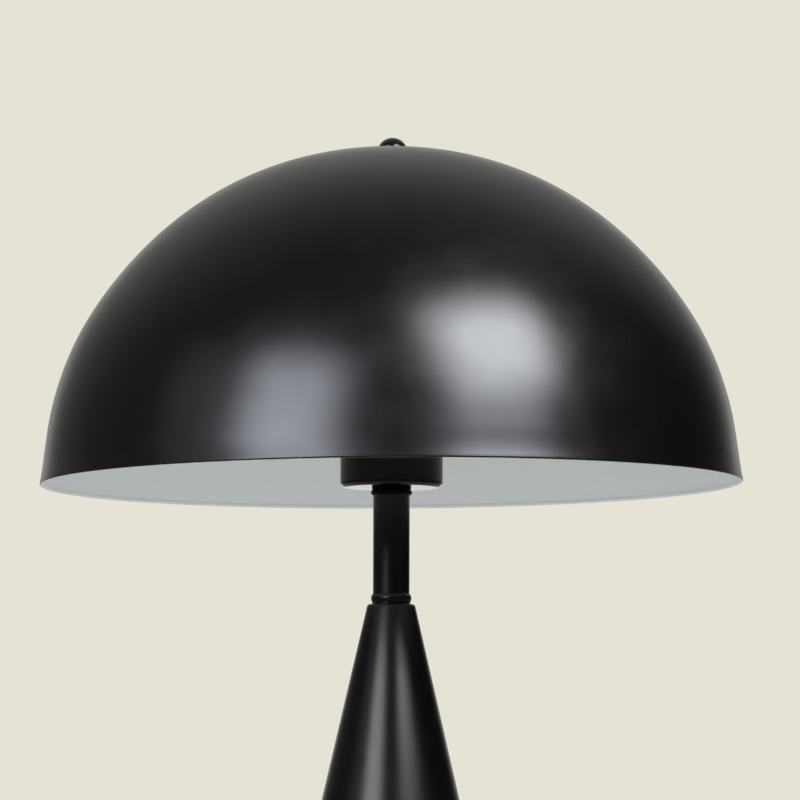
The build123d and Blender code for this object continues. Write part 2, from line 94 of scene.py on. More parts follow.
class Recipe:
    """A node tree that is being written, for a finish, a light or the world."""

    def __init__(self, tree: bpy.types.NodeTree) -> None:
        """Empties the tree."""
        self.tree = tree
        tree.nodes.clear()

    def add(self, kind: str, **values: object) -> Node:
        """Adds a node.

        Args:
            kind: The node's type name.
            values: Settings of the node, or values of its inputs with spaces as
                underscores.

        Returns:
            The new node.
        """
        node = self.tree.nodes.new(kind)
        sockets = {socket.name.replace(" ", "_"): socket for socket in node.inputs}
        for name, value in values.items():
            if hasattr(node, name):
                setattr(node, name, value)
            else:
                sockets[name].default_value = value
        return node

    def link(self, source: Socket, target: Socket) -> None:
        """Joins an output to an input."""
        self.tree.links.new(source, target)

    def sums(self, operation: str, first: object, second: object = 0.0) -> Socket:
        """Adds a Math node.

        Args:
            operation: The node's operation.
            first: An output or a number.
            second: An output or a number.

        Returns:
            The node's output.
        """
        node = self.add("ShaderNodeMath", operation=operation)
        for socket, value in zip(node.inputs, (first, second)):
            if isinstance(value, Socket):
                self.link(value, socket)
            else:
                socket.default_value = value
        return node.outputs[0]

    def fade(self, value: Socket, start: float, end: float, low: float = 0.0, high: float = 1.0) -> Socket:
        """Maps a value smoothly onto another range.

        Args:
            value: The value.
            start: Where the value begins to count.
            end: Where it stops.
            low: The result up to the start.
            high: The result from the end on.

        Returns:
            The node's output.
        """
        node = self.add("ShaderNodeMapRange", interpolation_type="SMOOTHSTEP")
        self.link(value, node.inputs["Value"])
        for name, number in (("From Min", start), ("From Max", end), ("To Min", low), ("To Max", high)):
            node.inputs[name].default_value = number
        return node.outputs["Result"]

    def place(self, output: str = "Object") -> Socket:
        """The coordinate that patterns follow."""
        return self.add("ShaderNodeTexCoord").outputs[output]

    def noise(self, place: Socket, scale: float, detail: float, stretch: Triple = (1.0, 1.0, 1.0)) -> Socket:
        """Adds noise.

        Args:
            place: The coordinate.
            scale: Features per metre.
            detail: Levels of finer noise.
            stretch: Scale of the coordinate along X, Y and Z.

        Returns:
            The grey value.
        """
        mapping = self.add("ShaderNodeMapping")
        mapping.inputs["Scale"].default_value = stretch
        self.link(place, mapping.inputs["Vector"])
        node = self.add("ShaderNodeTexNoise", Scale=scale, Detail=detail)
        self.link(mapping.outputs[0], node.inputs["Vector"])
        return node.outputs["Fac"]

    def radius(self, place: Socket) -> Socket:
        """The distance from the lamp's axis.

        Args:
            place: The coordinate.

        Returns:
            The distance, in metres.
        """
        level = self.add("ShaderNodeVectorMath", operation="MULTIPLY")
        level.inputs[1].default_value = (1.0, 1.0, 0.0)
        self.link(place, level.inputs[0])
        length = self.add("ShaderNodeVectorMath", operation="LENGTH")
        self.link(level.outputs[0], length.inputs[0])
        return length.outputs["Value"]

    def bump(self, height: Socket, depth: float, under: Socket | None = None) -> Socket:
        """Turns a height into a normal.

        Args:
            height: A grey value, 0 to 1.
            depth: The height of 1, in metres.
            under: The normal that the relief lies on.

        Returns:
            The normal.
        """
        node = self.add("ShaderNodeBump", Strength=1.0, Distance=depth)
        self.link(height, node.inputs["Height"])
        if under:
            self.link(under, node.inputs["Normal"])
        return node.outputs["Normal"]

    def tint(self, value: Socket, dark: Triple, light: Triple) -> Socket:
        """Adds a colour between two.

        Args:
            value: The grey value.
            dark: The colour of 0.
            light: The colour of 1.

        Returns:
            The colour.
        """
        node = self.add("ShaderNodeMix", data_type="RGBA")
        node.inputs[6].default_value = (*dark, 1.0)
        node.inputs[7].default_value = (*light, 1.0)
        self.link(value, node.inputs["Factor"])
        return node.outputs[2]

    def blend(self, kind: str, *sources: Socket) -> Socket:
        """Joins shaders in one node.

        Args:
            kind: The node's type name.
            sources: What its inputs take, in their order: a mix takes its share first.

        Returns:
            The node's output.
        """
        node = self.add(kind)
        for source, target in zip(sources, node.inputs):
            self.link(source, target)
        return node.outputs[0]

    def mix(self, factor: Socket, first: Socket, second: Socket) -> Socket:
        """Mixes two shaders: the first where the factor is 0, the second where it is 1."""
        return self.blend("ShaderNodeMixShader", factor, first, second)

    def end(self, surface: Socket, kind: str = "ShaderNodeOutputMaterial") -> None:
        """Ends the tree with its surface."""
        self.link(surface, self.add(kind).inputs["Surface"])


def new_material(name: str) -> tuple[bpy.types.Material, Recipe]:
    """Makes a material.

    Args:
        name: The material's name.

    Returns:
        The material, and the recipe of its empty tree.
    """
    material = bpy.data.materials.new(name)
    material.use_nodes = True
    return material, Recipe(material.node_tree)


# --- Objects ----------------------------------------------------------------------------


def as_data(name: str, mesh: BMesh) -> bpy.types.Mesh:
    """Turns a working mesh into mesh data, and frees it.

    Args:
        name: The data's name.
        mesh: The working mesh.

    Returns:
        The mesh data.
    """
    data = bpy.data.meshes.new(name)
    mesh.to_mesh(data)
    mesh.free()
    return data


def stand(name: str, data: bpy.types.ID) -> bpy.types.Object:
    """Stands data in the scene as an object.

    Args:
        name: The object's name.
        data: Its mesh, camera or light.

    Returns:
        The object.
    """
    thing = bpy.data.objects.new(name, data)
    bpy.context.scene.collection.objects.link(thing)
    return thing


def bearing(across: float, up: float) -> Vector:
    """The direction at these degrees to the right of the front and over the level."""
    across, up = math.radians(across), math.radians(up)
    return Vector((math.sin(across) * math.cos(up), -math.cos(across) * math.cos(up), math.sin(up)))


# --- Finishes ---------------------------------------------------------------------------


@dataclass(frozen=True)
class Finish:
    """A finish with a base colour and the settings that are the same all over it."""

    name: str
    color: Triple
    rough: float
    metallic: float = 0.0
    coat: float = 0.0
    coat_rough: float = 0.1
    ior: float = 1.5
    sheen: Triple = (1.0, 1.0, 1.0)  # tint of the reflections

    def material(self) -> bpy.types.Material:
        """Makes the material, with the surface detail of the kind of finish.

        Returns:
            The material.
        """
        material, recipe = new_material(self.name)
        material.diffuse_color = (*self.color, 1.0)
        shader = recipe.add("ShaderNodeBsdfPrincipled")
        for name, value in (
            ("Base Color", (*self.color, 1.0)),
            ("Roughness", self.rough),
            ("Metallic", self.metallic),
            ("Coat Weight", self.coat),
            ("Coat Roughness", self.coat_rough),
            ("IOR", self.ior),
            ("Specular Tint", (*self.sheen, 1.0)),
        ):
            shader.inputs[name].default_value = value
        self.detail(recipe, shader)
        recipe.end(shader.outputs[0])
        return material

    def detail(self, recipe: Recipe, shader: Node) -> None:
        """Adds what this kind of finish shows close up. A plain finish adds nothing."""

    def vary(self, recipe: Recipe, shader: Node, value: Socket, shade: float, rough: float) -> None:
        """Varies colour and roughness with a grey value.

        Args:
            recipe: The material's tree.
            shader: The material's shader.
            value: The grey value.
            shade: Share by which the colour goes down and up.
            rough: Amount by which the roughness goes down and up.
        """
        dark = tuple(part * (1 - shade) for part in self.color)
        light = tuple(part * (1 + shade) for part in self.color)
        recipe.link(recipe.tint(value, dark, light), shader.inputs["Base Color"])
        band = recipe.fade(value, *NOISE_BAND, self.rough - rough, self.rough + rough)
        recipe.link(band, shader.inputs["Roughness"])


@dataclass(frozen=True)
class Paint(Finish):
    """Sprayed paint: a faint ripple and broad changes of gloss."""

    grain: float = 420.0  # features per metre, as the scale of every noise is
    grain_depth: float = 5e-6
    mottle: float = 45.0
    mottle_shade: float = 0.1
    mottle_rough: float = 0.015

    def detail(self, recipe: Recipe, shader: Node) -> None:
        """Adds the spray's grain and its mottle.

        Args:
            recipe: The material's tree.
            shader: The material's shader.
        """
        place = recipe.place()
        mottle = recipe.noise(place, self.mottle, 2.0)
        self.vary(recipe, shader, mottle, self.mottle_shade, self.mottle_rough)
        grain = recipe.noise(place, self.grain, 3.0)
        recipe.link(recipe.bump(grain, self.grain_depth), shader.inputs["Normal"])


@dataclass(frozen=True)
class Turned(Finish):
    """Turned or spun metal: fine rings round the axis."""

    rings: float = 2600.0
    ring_depth: float = 4e-6
    around: Triple = (0.04, 0.04, 1.0)  # draws the noise out into rings
    stain: float = 0.12
    stain_rough: float = 0.05
    stain_grain: float = 60.0

    def detail(self, recipe: Recipe, shader: Node) -> None:
        """Adds the tool's rings and a faint stain.

        Args:
            recipe: The material's tree.
            shader: The material's shader.
        """
        place = recipe.place()
        stain = recipe.noise(place, self.stain_grain, 4.0)
        self.vary(recipe, shader, stain, self.stain, self.stain_rough)
        rings = recipe.noise(place, self.rings, 1.0, self.around)
        recipe.link(recipe.bump(rings, self.ring_depth), shader.inputs["Normal"])


@dataclass(frozen=True)
class Cast(Finish):
    """Sand-cast iron under a thin coat of primer."""

    sand: float = 420.0
    sand_depth: float = 2.5e-4
    rust: float = 25.0
    rust_shade: float = 0.35
    rust_rough: float = 0.08

    def detail(self, recipe: Recipe, shader: Node) -> None:
        """Adds the sand's grain and patches of rust.

        Args:
            recipe: The material's tree.
            shader: The material's shader.
        """
        place = recipe.place()
        sand = recipe.noise(place, self.sand, 5.0)
        rust = recipe.noise(place, self.rust, 6.0)
        self.vary(recipe, shader, rust, self.rust_shade, self.rust_rough)
        recipe.link(recipe.bump(sand, self.sand_depth), shader.inputs["Normal"])


@dataclass(frozen=True)
class Felt(Finish):
    """Pressed felt: short fibres with a soft sheen."""

    fibre: float = 900.0
    fibre_depth: float = 3e-4
    fibre_shade: float = 0.4
    fibre_rough: float = 0.03
    along: Triple = (1.0, 0.35, 1.0)  # draws the noise out into fibres
    fuzz: float = 0.5
    fuzz_rough: float = 0.6

    def detail(self, recipe: Recipe, shader: Node) -> None:
        """Adds the fibres and the sheen.

        Args:
            recipe: The material's tree.
            shader: The material's shader.
        """
        place = recipe.place()
        fibres = recipe.noise(place, self.fibre, 5.0, self.along)
        self.vary(recipe, shader, fibres, self.fibre_shade, self.fibre_rough)
        recipe.link(recipe.bump(fibres, self.fibre_depth), shader.inputs["Normal"])
        shader.inputs["Sheen Weight"].default_value = self.fuzz
        shader.inputs["Sheen Roughness"].default_value = self.fuzz_rough


@dataclass(frozen=True)
class Moulded(Finish):
    """Moulded rubber or plastic: a fine skin with faint flow marks."""

    skin: float = 700.0
    skin_depth: float = 1.2e-5
    flow: float = 30.0
    flow_shade: float = 0.12
    flow_rough: float = 0.04

    def detail(self, recipe: Recipe, shader: Node) -> None:
        """Adds the mould's skin.

        Args:
            recipe: The material's tree.
            shader: The material's shader.
        """
        place = recipe.place()
        flow = recipe.noise(place, self.flow, 3.0)
        self.vary(recipe, shader, flow, self.flow_shade, self.flow_rough)
        skin = recipe.noise(place, self.skin, 3.0)
        recipe.link(recipe.bump(skin, self.skin_depth), shader.inputs["Normal"])


@dataclass(frozen=True)
class Glazed(Finish):
    """Glazed ceramic with a few dark specks."""

    speck: float = 1300.0
    speck_edge: Pair = (0.68, 0.74)
    speck_shade: float = 0.6
    wave: float = 160.0
    wave_depth: float = 2e-5

    def detail(self, recipe: Recipe, shader: Node) -> None:
        """Adds the specks and the glaze's waves.

        Args:
            recipe: The material's tree.
            shader: The material's shader.
        """
        place = recipe.place()
        specks = recipe.fade(recipe.noise(place, self.speck, 2.0), *self.speck_edge)
        dark = tuple(part * self.speck_shade for part in self.color)
        recipe.link(recipe.tint(specks, self.color, dark), shader.inputs["Base Color"])
        waves = recipe.noise(place, self.wave, 2.0)
        recipe.link(recipe.bump(waves, self.wave_depth), shader.inputs["Normal"])


@dataclass(frozen=True)
class Opal(Finish):
    """Opal plastic, which lets a little light through itself."""

    milk: float = 0.35
    milk_reach: Triple = (0.004, 0.004, 0.003)
    milk_scale: float = 0.5
    skin: float = 240.0
    skin_depth: float = 4e-6

    def detail(self, recipe: Recipe, shader: Node) -> None:
        """Adds the milky depth and a faint skin.

        Args:
            recipe: The material's tree.
            shader: The material's shader.
        """
        shader.inputs["Subsurface Weight"].default_value = self.milk
        shader.inputs["Subsurface Radius"].default_value = self.milk_reach
        shader.inputs["Subsurface Scale"].default_value = self.milk_scale
        skin = recipe.noise(recipe.place(), self.skin, 2.0)
        recipe.link(recipe.bump(skin, self.skin_depth), shader.inputs["Normal"])


@dataclass(frozen=True)
class SpunCoat(Finish):
    """White coat sprayed thinly inside a spun shade, with the spinning rings under it."""

    cloud: float = 12.0
    cloud_shade: float = 0.03
    cloud_rough: float = 0.03
    rings: float = 260.0
    ring_depth: float = 3e-5
    around: Triple = (0.03, 0.03, 1.0)  # draws the noise out into rings
    grain: float = 1100.0
    grain_depth: float = 1.2e-5

    def detail(self, recipe: Recipe, shader: Node) -> None:
        """Adds the spinning rings and the spray's grain.

        Args:
            recipe: The material's tree.
            shader: The material's shader.
        """
        place = recipe.place()
        clouds = recipe.noise(place, self.cloud, 3.0)
        self.vary(recipe, shader, clouds, self.cloud_shade, self.cloud_rough)
        rings = recipe.noise(place, self.rings, 1.0, self.around)
        under = recipe.bump(rings, self.ring_depth)
        grain = recipe.noise(place, self.grain, 2.0)
        recipe.link(recipe.bump(grain, self.grain_depth, under), shader.inputs["Normal"])


BLACK: Triple = (0.0041, 0.0025, 0.0032)

SHADE_PAINT = Paint("satin black spray paint", BLACK, 0.26)
STAND_PAINT = Paint("satin black stand paint", BLACK, 0.26, ior=1.4, sheen=(1.0, 0.96, 0.85))
CUP_PAINT = Paint("dull black cup paint", BLACK, 0.32, ior=1.25)
CUP_FLOOR_PAINT = Paint(
    "lacquered black cup floor", BLACK, 0.16, coat=1.0, coat_rough=0.05, grain_depth=1e-6
)
FINIAL_PAINT = Paint(
    "glossy black finial paint", (0.006, 0.006, 0.006), 0.2, coat=0.3, coat_rough=0.08, grain_depth=2e-6
)
SHADE_COAT = SpunCoat("white inner coat", (0.872, 0.905, 0.94), 0.5)
# darker black with weaker reflections than the stand's paint: painted shade for the neck and upper collar,
# which sit in deep shade under the cup
SHADED_NECK_PAINT = Paint("flat black neck paint", (0.0015, 0.0015, 0.0015), 0.45, ior=1.18)
EDGING_RUBBER = Moulded("black edging rubber", (0.018, 0.018, 0.018), 0.62, skin_depth=3e-5)
BASE_FELT = Felt("dark grey base felt", (0.045, 0.045, 0.048), 0.95)
BALLAST_IRON = Cast("primed ballast iron", (0.06, 0.055, 0.05), 0.7)
FRAME_STEEL = Turned("plain turned steel", (0.5, 0.49, 0.47), 0.38, metallic=1.0)
PLATED_STEEL = Turned("zinc plated steel", (0.6, 0.61, 0.62), 0.32, metallic=1.0, stain=0.18)
HARP_STEEL = Turned(
    "nickel plated harp wire", (0.62, 0.6, 0.56), 0.22, metallic=1.0, rings=1800.0, ring_depth=2e-6
)
OUTLET_NYLON = Moulded("black nylon outlet", (0.014, 0.014, 0.015), 0.42)
HOLDER_PLASTIC = Moulded("black lampholder plastic", (0.012, 0.012, 0.012), 0.28, skin_depth=4e-6)
HOLDER_GLAZE = Glazed("glazed lampholder block", (0.72, 0.7, 0.64), 0.3, coat=0.6)
CONTACT_BRASS = Turned("contact brass", (0.7, 0.5, 0.22), 0.3, metallic=1.0, stain=0.2)
TIP_SOLDER = Turned("soldered bulb tip", (0.55, 0.55, 0.56), 0.45, metallic=1.0, ring_depth=1e-5)
CAP_METAL = Turned("drawn bulb cap metal", (0.66, 0.66, 0.67), 0.34, metallic=1.0)
CAP_GLASS = Moulded("black cap insulator", (0.01, 0.01, 0.012), 0.12, coat=0.5, skin_depth=2e-6)
BULB_PLASTIC = Moulded("white bulb housing plastic", (0.72, 0.72, 0.71), 0.4, skin_depth=5e-6)
BULB_OPAL = Opal("opal bulb diffuser", (0.82, 0.82, 0.79), 0.35)


# --- Shaping ----------------------------------------------------------------------------


class Lathe:
    """An outline drawn beside an axis, in millimetres, and spun round it."""

    ROUND_STEPS = 3  # edges of the smallest rounding
    MORE_STEPS = 2.5  # edges more for each millimetre of it

    def __init__(self, radius: float, height: float) -> None:
        """Puts the pen down.

        Args:
            radius: Where the outline starts.
            height: Where the outline starts.
        """
        self.mesh = bmesh.new()
        self.start: BMVert = bmesh.ops.create_vert(self.mesh, co=self.point(radius, height))["vert"][0]
        self.pen = self.start
        self.rounded: dict[float, list[BMVert]] = {}

    @staticmethod
    def point(radius: float, height: float) -> Vector:
        """A point of the outline in metres."""
        return Vector((radius, 0.0, height)) * MM

    def to(self, radius: float, height: float, soft: float = 0.0, parts: int = 1) -> "Lathe":
        """Draws a straight stretch.

        Args:
            radius: Where it ends.
            height: Where it ends.
            soft: Length of the rounding of the corner at its end.
            parts: How many edges it has.

        Returns:
            The lathe.
        """
        begin, end = self.pen.co.copy(), self.point(radius, height)
        for part in range(1, parts + 1):
            self.pen = bmesh.ops.extrude_vert_indiv(self.mesh, verts=[self.pen])["verts"][0]
            self.pen.co = begin.lerp(end, part / parts)
        return self.soften(self.pen, soft)

    def soften(self, corner: BMVert, soft: float) -> "Lathe":
        """Notes that a corner is rounded.

        Args:
            corner: The corner's vertex.
            soft: Length of the rounding, or 0 for none.

        Returns:
            The lathe.
        """
        if soft:
            self.rounded.setdefault(soft, []).append(corner)
        return self

    def arc(self, radius: float, height: float, degrees: float, steps: int) -> "Lathe":
        """Draws a round stretch about a centre.

        Args:
            radius: Where the centre is.
            height: Where the centre is.
            degrees: How far it turns, anticlockwise where positive.
            steps: How many edges it has.

        Returns:
            The lathe.
        """
        turn = bmesh.ops.spin(
            self.mesh,
            geom=[self.pen],
            cent=self.point(radius, height),
            axis=(0, -1, 0),
            angle=math.radians(degrees),
            steps=steps,
            use_duplicate=False,
        )
        self.pen = turn["geom_last"][0]
        return self

    def through(self, middle: Pair, end: Pair, steps: int) -> "Lathe":
        """Draws a round stretch through a middle point.

        Args:
            middle: A point on the way.
            end: Where it ends.
            steps: How many edges it has.

        Returns:
            The lathe.
        """
        first = Vector((self.pen.co.x, self.pen.co.z)) / MM
        half = Vector(middle) - first
        whole = Vector(end) - first
        cross = half.cross(whole)
        centre = first + Vector(
            (
                whole.y * half.length_squared - half.y * whole.length_squared,
                half.x * whole.length_squared - whole.x * half.length_squared,
            )
        ) / (2 * cross)
        begin, finish = first - centre, Vector(end) - centre
        angle = math.degrees(begin.angle_signed(finish))
        # angle_signed is clockwise, and a stretch through the middle point turns the way of cross
        degrees = (-angle) % 360 if cross > 0 else -(angle % 360)
        return self.arc(centre.x, centre.y, degrees, steps)

    def close(self, soft: float = 0.0, parts: int = 1) -> "Lathe":
        """Draws back to the first point.

        Args:
            soft: Length of the rounding of the first point's corner.
            parts: How many edges the stretch has.

        Returns:
            The lathe.
        """
        self.to(self.start.co.x / MM, self.start.co.z / MM, parts=parts)
        bmesh.ops.weld_verts(self.mesh, targetmap={self.pen: self.start})
        self.pen = self.start
        return self.soften(self.start, soft)

    def round_corners(self) -> None:
        """Rounds the corners that were noted."""
        for soft, corners in self.rounded.items():
            bmesh.ops.bevel(
                self.mesh,
                geom=corners,
                offset=soft * MM,
                offset_type="OFFSET",
                segments=self.ROUND_STEPS + int(soft * self.MORE_STEPS),
                profile=0.5,
                affect="VERTICES",
                material=-1,
            )

    def spin(self, turns: float, steps: int, **more: object) -> None:
        """Rounds the noted corners and spins the outline round the axis.

        Args:
            turns: How many turns it makes.
            steps: How many steps it makes in all.
            more: Other settings of the spin.
        """
        self.round_corners()
        outline = self.mesh.verts[:] + self.mesh.edges[:]
        bmesh.ops.spin(
            self.mesh,
            geom=outline,
            cent=(0, 0, 0),
            axis=(0, 0, 1),
            angle=math.tau * turns,
            steps=steps,
            use_duplicate=False,
            **more,
        )

    def turn(self, steps: int) -> BMesh:
        """Spins the outline right round.

        Args:
            steps: How many faces lie round the axis.

        Returns:
            The closed mesh.
        """
        self.spin(1.0, steps, use_merge=True)
        return tidy(self.mesh)

    def wind(self, turns: float, pitch: float, steps: int) -> BMesh:
        """Spins a closed outline up a helix.

        Args:
            turns: How many turns it makes.
            pitch: Millimetres that it climbs in a turn.
            steps: How many faces each turn has.

        Returns:
            The mesh, with both ends filled.
        """
        self.spin(turns, round(turns * steps), dvec=(0, 0, pitch * MM / steps))
        ends = [edge for edge in self.mesh.edges if edge.is_boundary]
        bmesh.ops.holes_fill(self.mesh, edges=ends)
        return tidy(self.mesh)


def tidy(mesh: BMesh) -> BMesh:
    """Merges doubles and turns the faces outwards.

    Args:
        mesh: The mesh to clean.

    Returns:
        The same mesh.
    """
    bmesh.ops.remove_doubles(mesh, verts=mesh.verts[:], dist=MERGE)
    bmesh.ops.recalc_face_normals(mesh, faces=mesh.faces[:])
    return mesh


class BentWire:
    """Round wire drawn out of a ring of points, bent in the plane of X and Z."""

    def __init__(self, radius: float, side: float, height: float, sides: int) -> None:
        """Starts the wire as a ring that looks up.

        Args:
            radius: Half the wire's thickness, in millimetres.
            side: How far the ring lies from the axis, in millimetres.
            height: The ring's level, in millimetres.
            sides: How many sides the wire has.
        """
        self.mesh = bmesh.new()
        self.centre = Vector((side, 0.0, height)) * MM
        self.heading = Vector((0.0, 0.0, 1.0))
        bmesh.ops.create_circle(
            self.mesh, segments=sides, radius=radius * MM, matrix=Matrix.Translation(self.centre)
        )
        self.end: list[BMEdge] = self.mesh.edges[:]

    def straight(self, length: float, parts: int) -> "BentWire":
        """Draws a straight stretch.

        Args:
            length: How long it is, in millimetres.
            parts: How many parts it has.

        Returns:
            The wire.
        """
        for _ in range(parts):
            new = bmesh.ops.extrude_edge_only(self.mesh, edges=self.end)["geom"]
            step = self.heading * (length * MM / parts)
            moved = [item for item in new if isinstance(item, BMVert)]
            bmesh.ops.translate(self.mesh, vec=step, verts=moved)
            self.end = [item for item in new if isinstance(item, BMEdge)]
            self.centre += step
        return self

    def bend(self, radius: float, degrees: float, parts: int) -> "BentWire":
        """Bends the wire about a centre at its side.

        Args:
            radius: Radius of the wire's middle line.
            degrees: How far it turns, anticlockwise where positive.
            parts: How many parts the bend has.

        Returns:
            The wire.
        """
        inward = Vector((-self.heading.z, 0.0, self.heading.x)) * math.copysign(radius * MM, degrees)
        turn = Matrix.Rotation(math.radians(degrees), 3, (0.0, -1.0, 0.0))
        pivot = self.centre + inward
        new = bmesh.ops.spin(
            self.mesh,
            geom=self.end + list({vert for edge in self.end for vert in edge.verts}),
            cent=pivot,
            axis=(0, -1, 0),
            angle=math.radians(degrees),
            steps=parts,
            use_duplicate=False,
        )["geom_last"]
        self.end = [item for item in new if isinstance(item, BMEdge)]
        self.centre = pivot + turn @ (self.centre - pivot)
        self.heading = turn @ self.heading
        return self

    def cut(self, rounding: float) -> BMesh:
        """Closes both ends and rounds their edges.

        Args:
            rounding: Length of the rounding, in millimetres.

        Returns:
            The mesh.
        """
        ends = [edge for edge in self.mesh.edges if edge.is_boundary]
        caps = bmesh.ops.holes_fill(self.mesh, edges=ends)["faces"]
        rims = list({edge for face in caps for edge in face.edges})
        bmesh.ops.bevel(
            self.mesh,
            geom=rims,
            offset=rounding * MM,
            offset_type="OFFSET",
            segments=3,
            profile=0.5,
            affect="EDGES",
            material=-1,
        )
        return tidy(self.mesh)


# --- Pieces and the frame ---------------------------------------------------------------


class Body(StrEnum):
    """The CAD bodies that pieces ride on."""

    FRAME = "lamp_frame"
    BULB = "bulb"
    HARP = "harp"
    RIGHT_FERRULE = "right_ferrule_body"
    LEFT_FERRULE = "left_ferrule_body"
    SHADE = "shade"
    FINIAL_WASHER = "finial_washer_body"
    FINIAL = "finial_body"


class Bench:
    """Turns meshes into pieces of the lamp, and dresses the CAD nodes that stay."""

    def __init__(self, frame: dict) -> None:
        """Takes the loaded frame."""
        self.nodes: dict[str, bpy.types.Object] = frame["nodes"]
        self.made: dict[Finish, bpy.types.Material] = {}

    def material(self, finish: Finish) -> bpy.types.Material:
        """The finish's material, made once.

        Args:
            finish: The finish.

        Returns:
            The material.
        """
        if finish not in self.made:
            self.made[finish] = finish.material()
        return self.made[finish]

    def object(self, name: str, mesh: BMesh, finishes: list[Finish]) -> bpy.types.Object:
        """Puts a mesh into the scene with its finishes.

        Args:
            name: The object's name.
            mesh: Its mesh, which is freed.
            finishes: Its finishes, by material index.

        Returns:
            The object.
        """
        piece = stand(name, as_data(name, mesh))
        for finish in finishes:
            piece.data.materials.append(self.material(finish))
        return piece

    def piece(
        self,
        name: str,
        mesh: BMesh,
        finish: Finish | list[Finish],
        body: Body,
        slot: str,
        *nodes: str,
        crease: float = 32.0,
    ) -> bpy.types.Object:
        """Makes a piece, parents it to the body it rides on and hides the CAD nodes it stands for.

        Args:
            name: The piece's name.
            mesh: Its mesh, in metres, in place.
            finish: Its finish, or several by material index.
            body: The CAD body it rides on.
            slot: The record's material slot; not used.
            nodes: The CAD nodes that it replaces.
            crease: Edges sharper than this many degrees stay sharp.

        Returns:
            The object.
        """
        finishes = finish if isinstance(finish, list) else [finish]
        piece = self.object(name, mesh, finishes)
        piece.data.shade_smooth()
        piece.data.set_sharp_from_angle(angle=math.radians(crease))
        even = piece.modifiers.new("even normals", "WEIGHTED_NORMAL")
        even.keep_sharp = True
        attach(piece, body)
        if nodes:
            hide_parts(*nodes)
        LOG.info("%s: %d faces, rides on %s", name, len(piece.data.polygons), body)
        return piece

    def dress(self, finish: Finish, *nodes: str) -> None:
        """Gives CAD nodes that stay a finish.

        Args:
            finish: The finish.
            nodes: The nodes' names.
        """
        for name in nodes:
            node = self.nodes[name]
            if not node.data.materials:
                node.data.materials.append(None)
            for place in node.material_slots:
                place.material = self.material(finish)
            LOG.info("%s: CAD node in %s", name, finish.name)


def low(node: str) -> float:
    """The lowest level of a CAD node, in millimetres."""
    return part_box(node)[0][2] / MM


def top(node: str) -> float:
    """The highest level of a CAD node, in millimetres."""
    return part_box(node)[1][2] / MM


def reach(node: str) -> float:
    """How far a round CAD node reaches from the axis, in millimetres."""
    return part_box(node)[1][0] / MM


def span(node: str) -> Triple:
    """A round CAD node's reach, lowest and highest level, in millimetres."""
    return reach(node), low(node), top(node)


# --- Foot and cone ----------------------------------------------------------------------


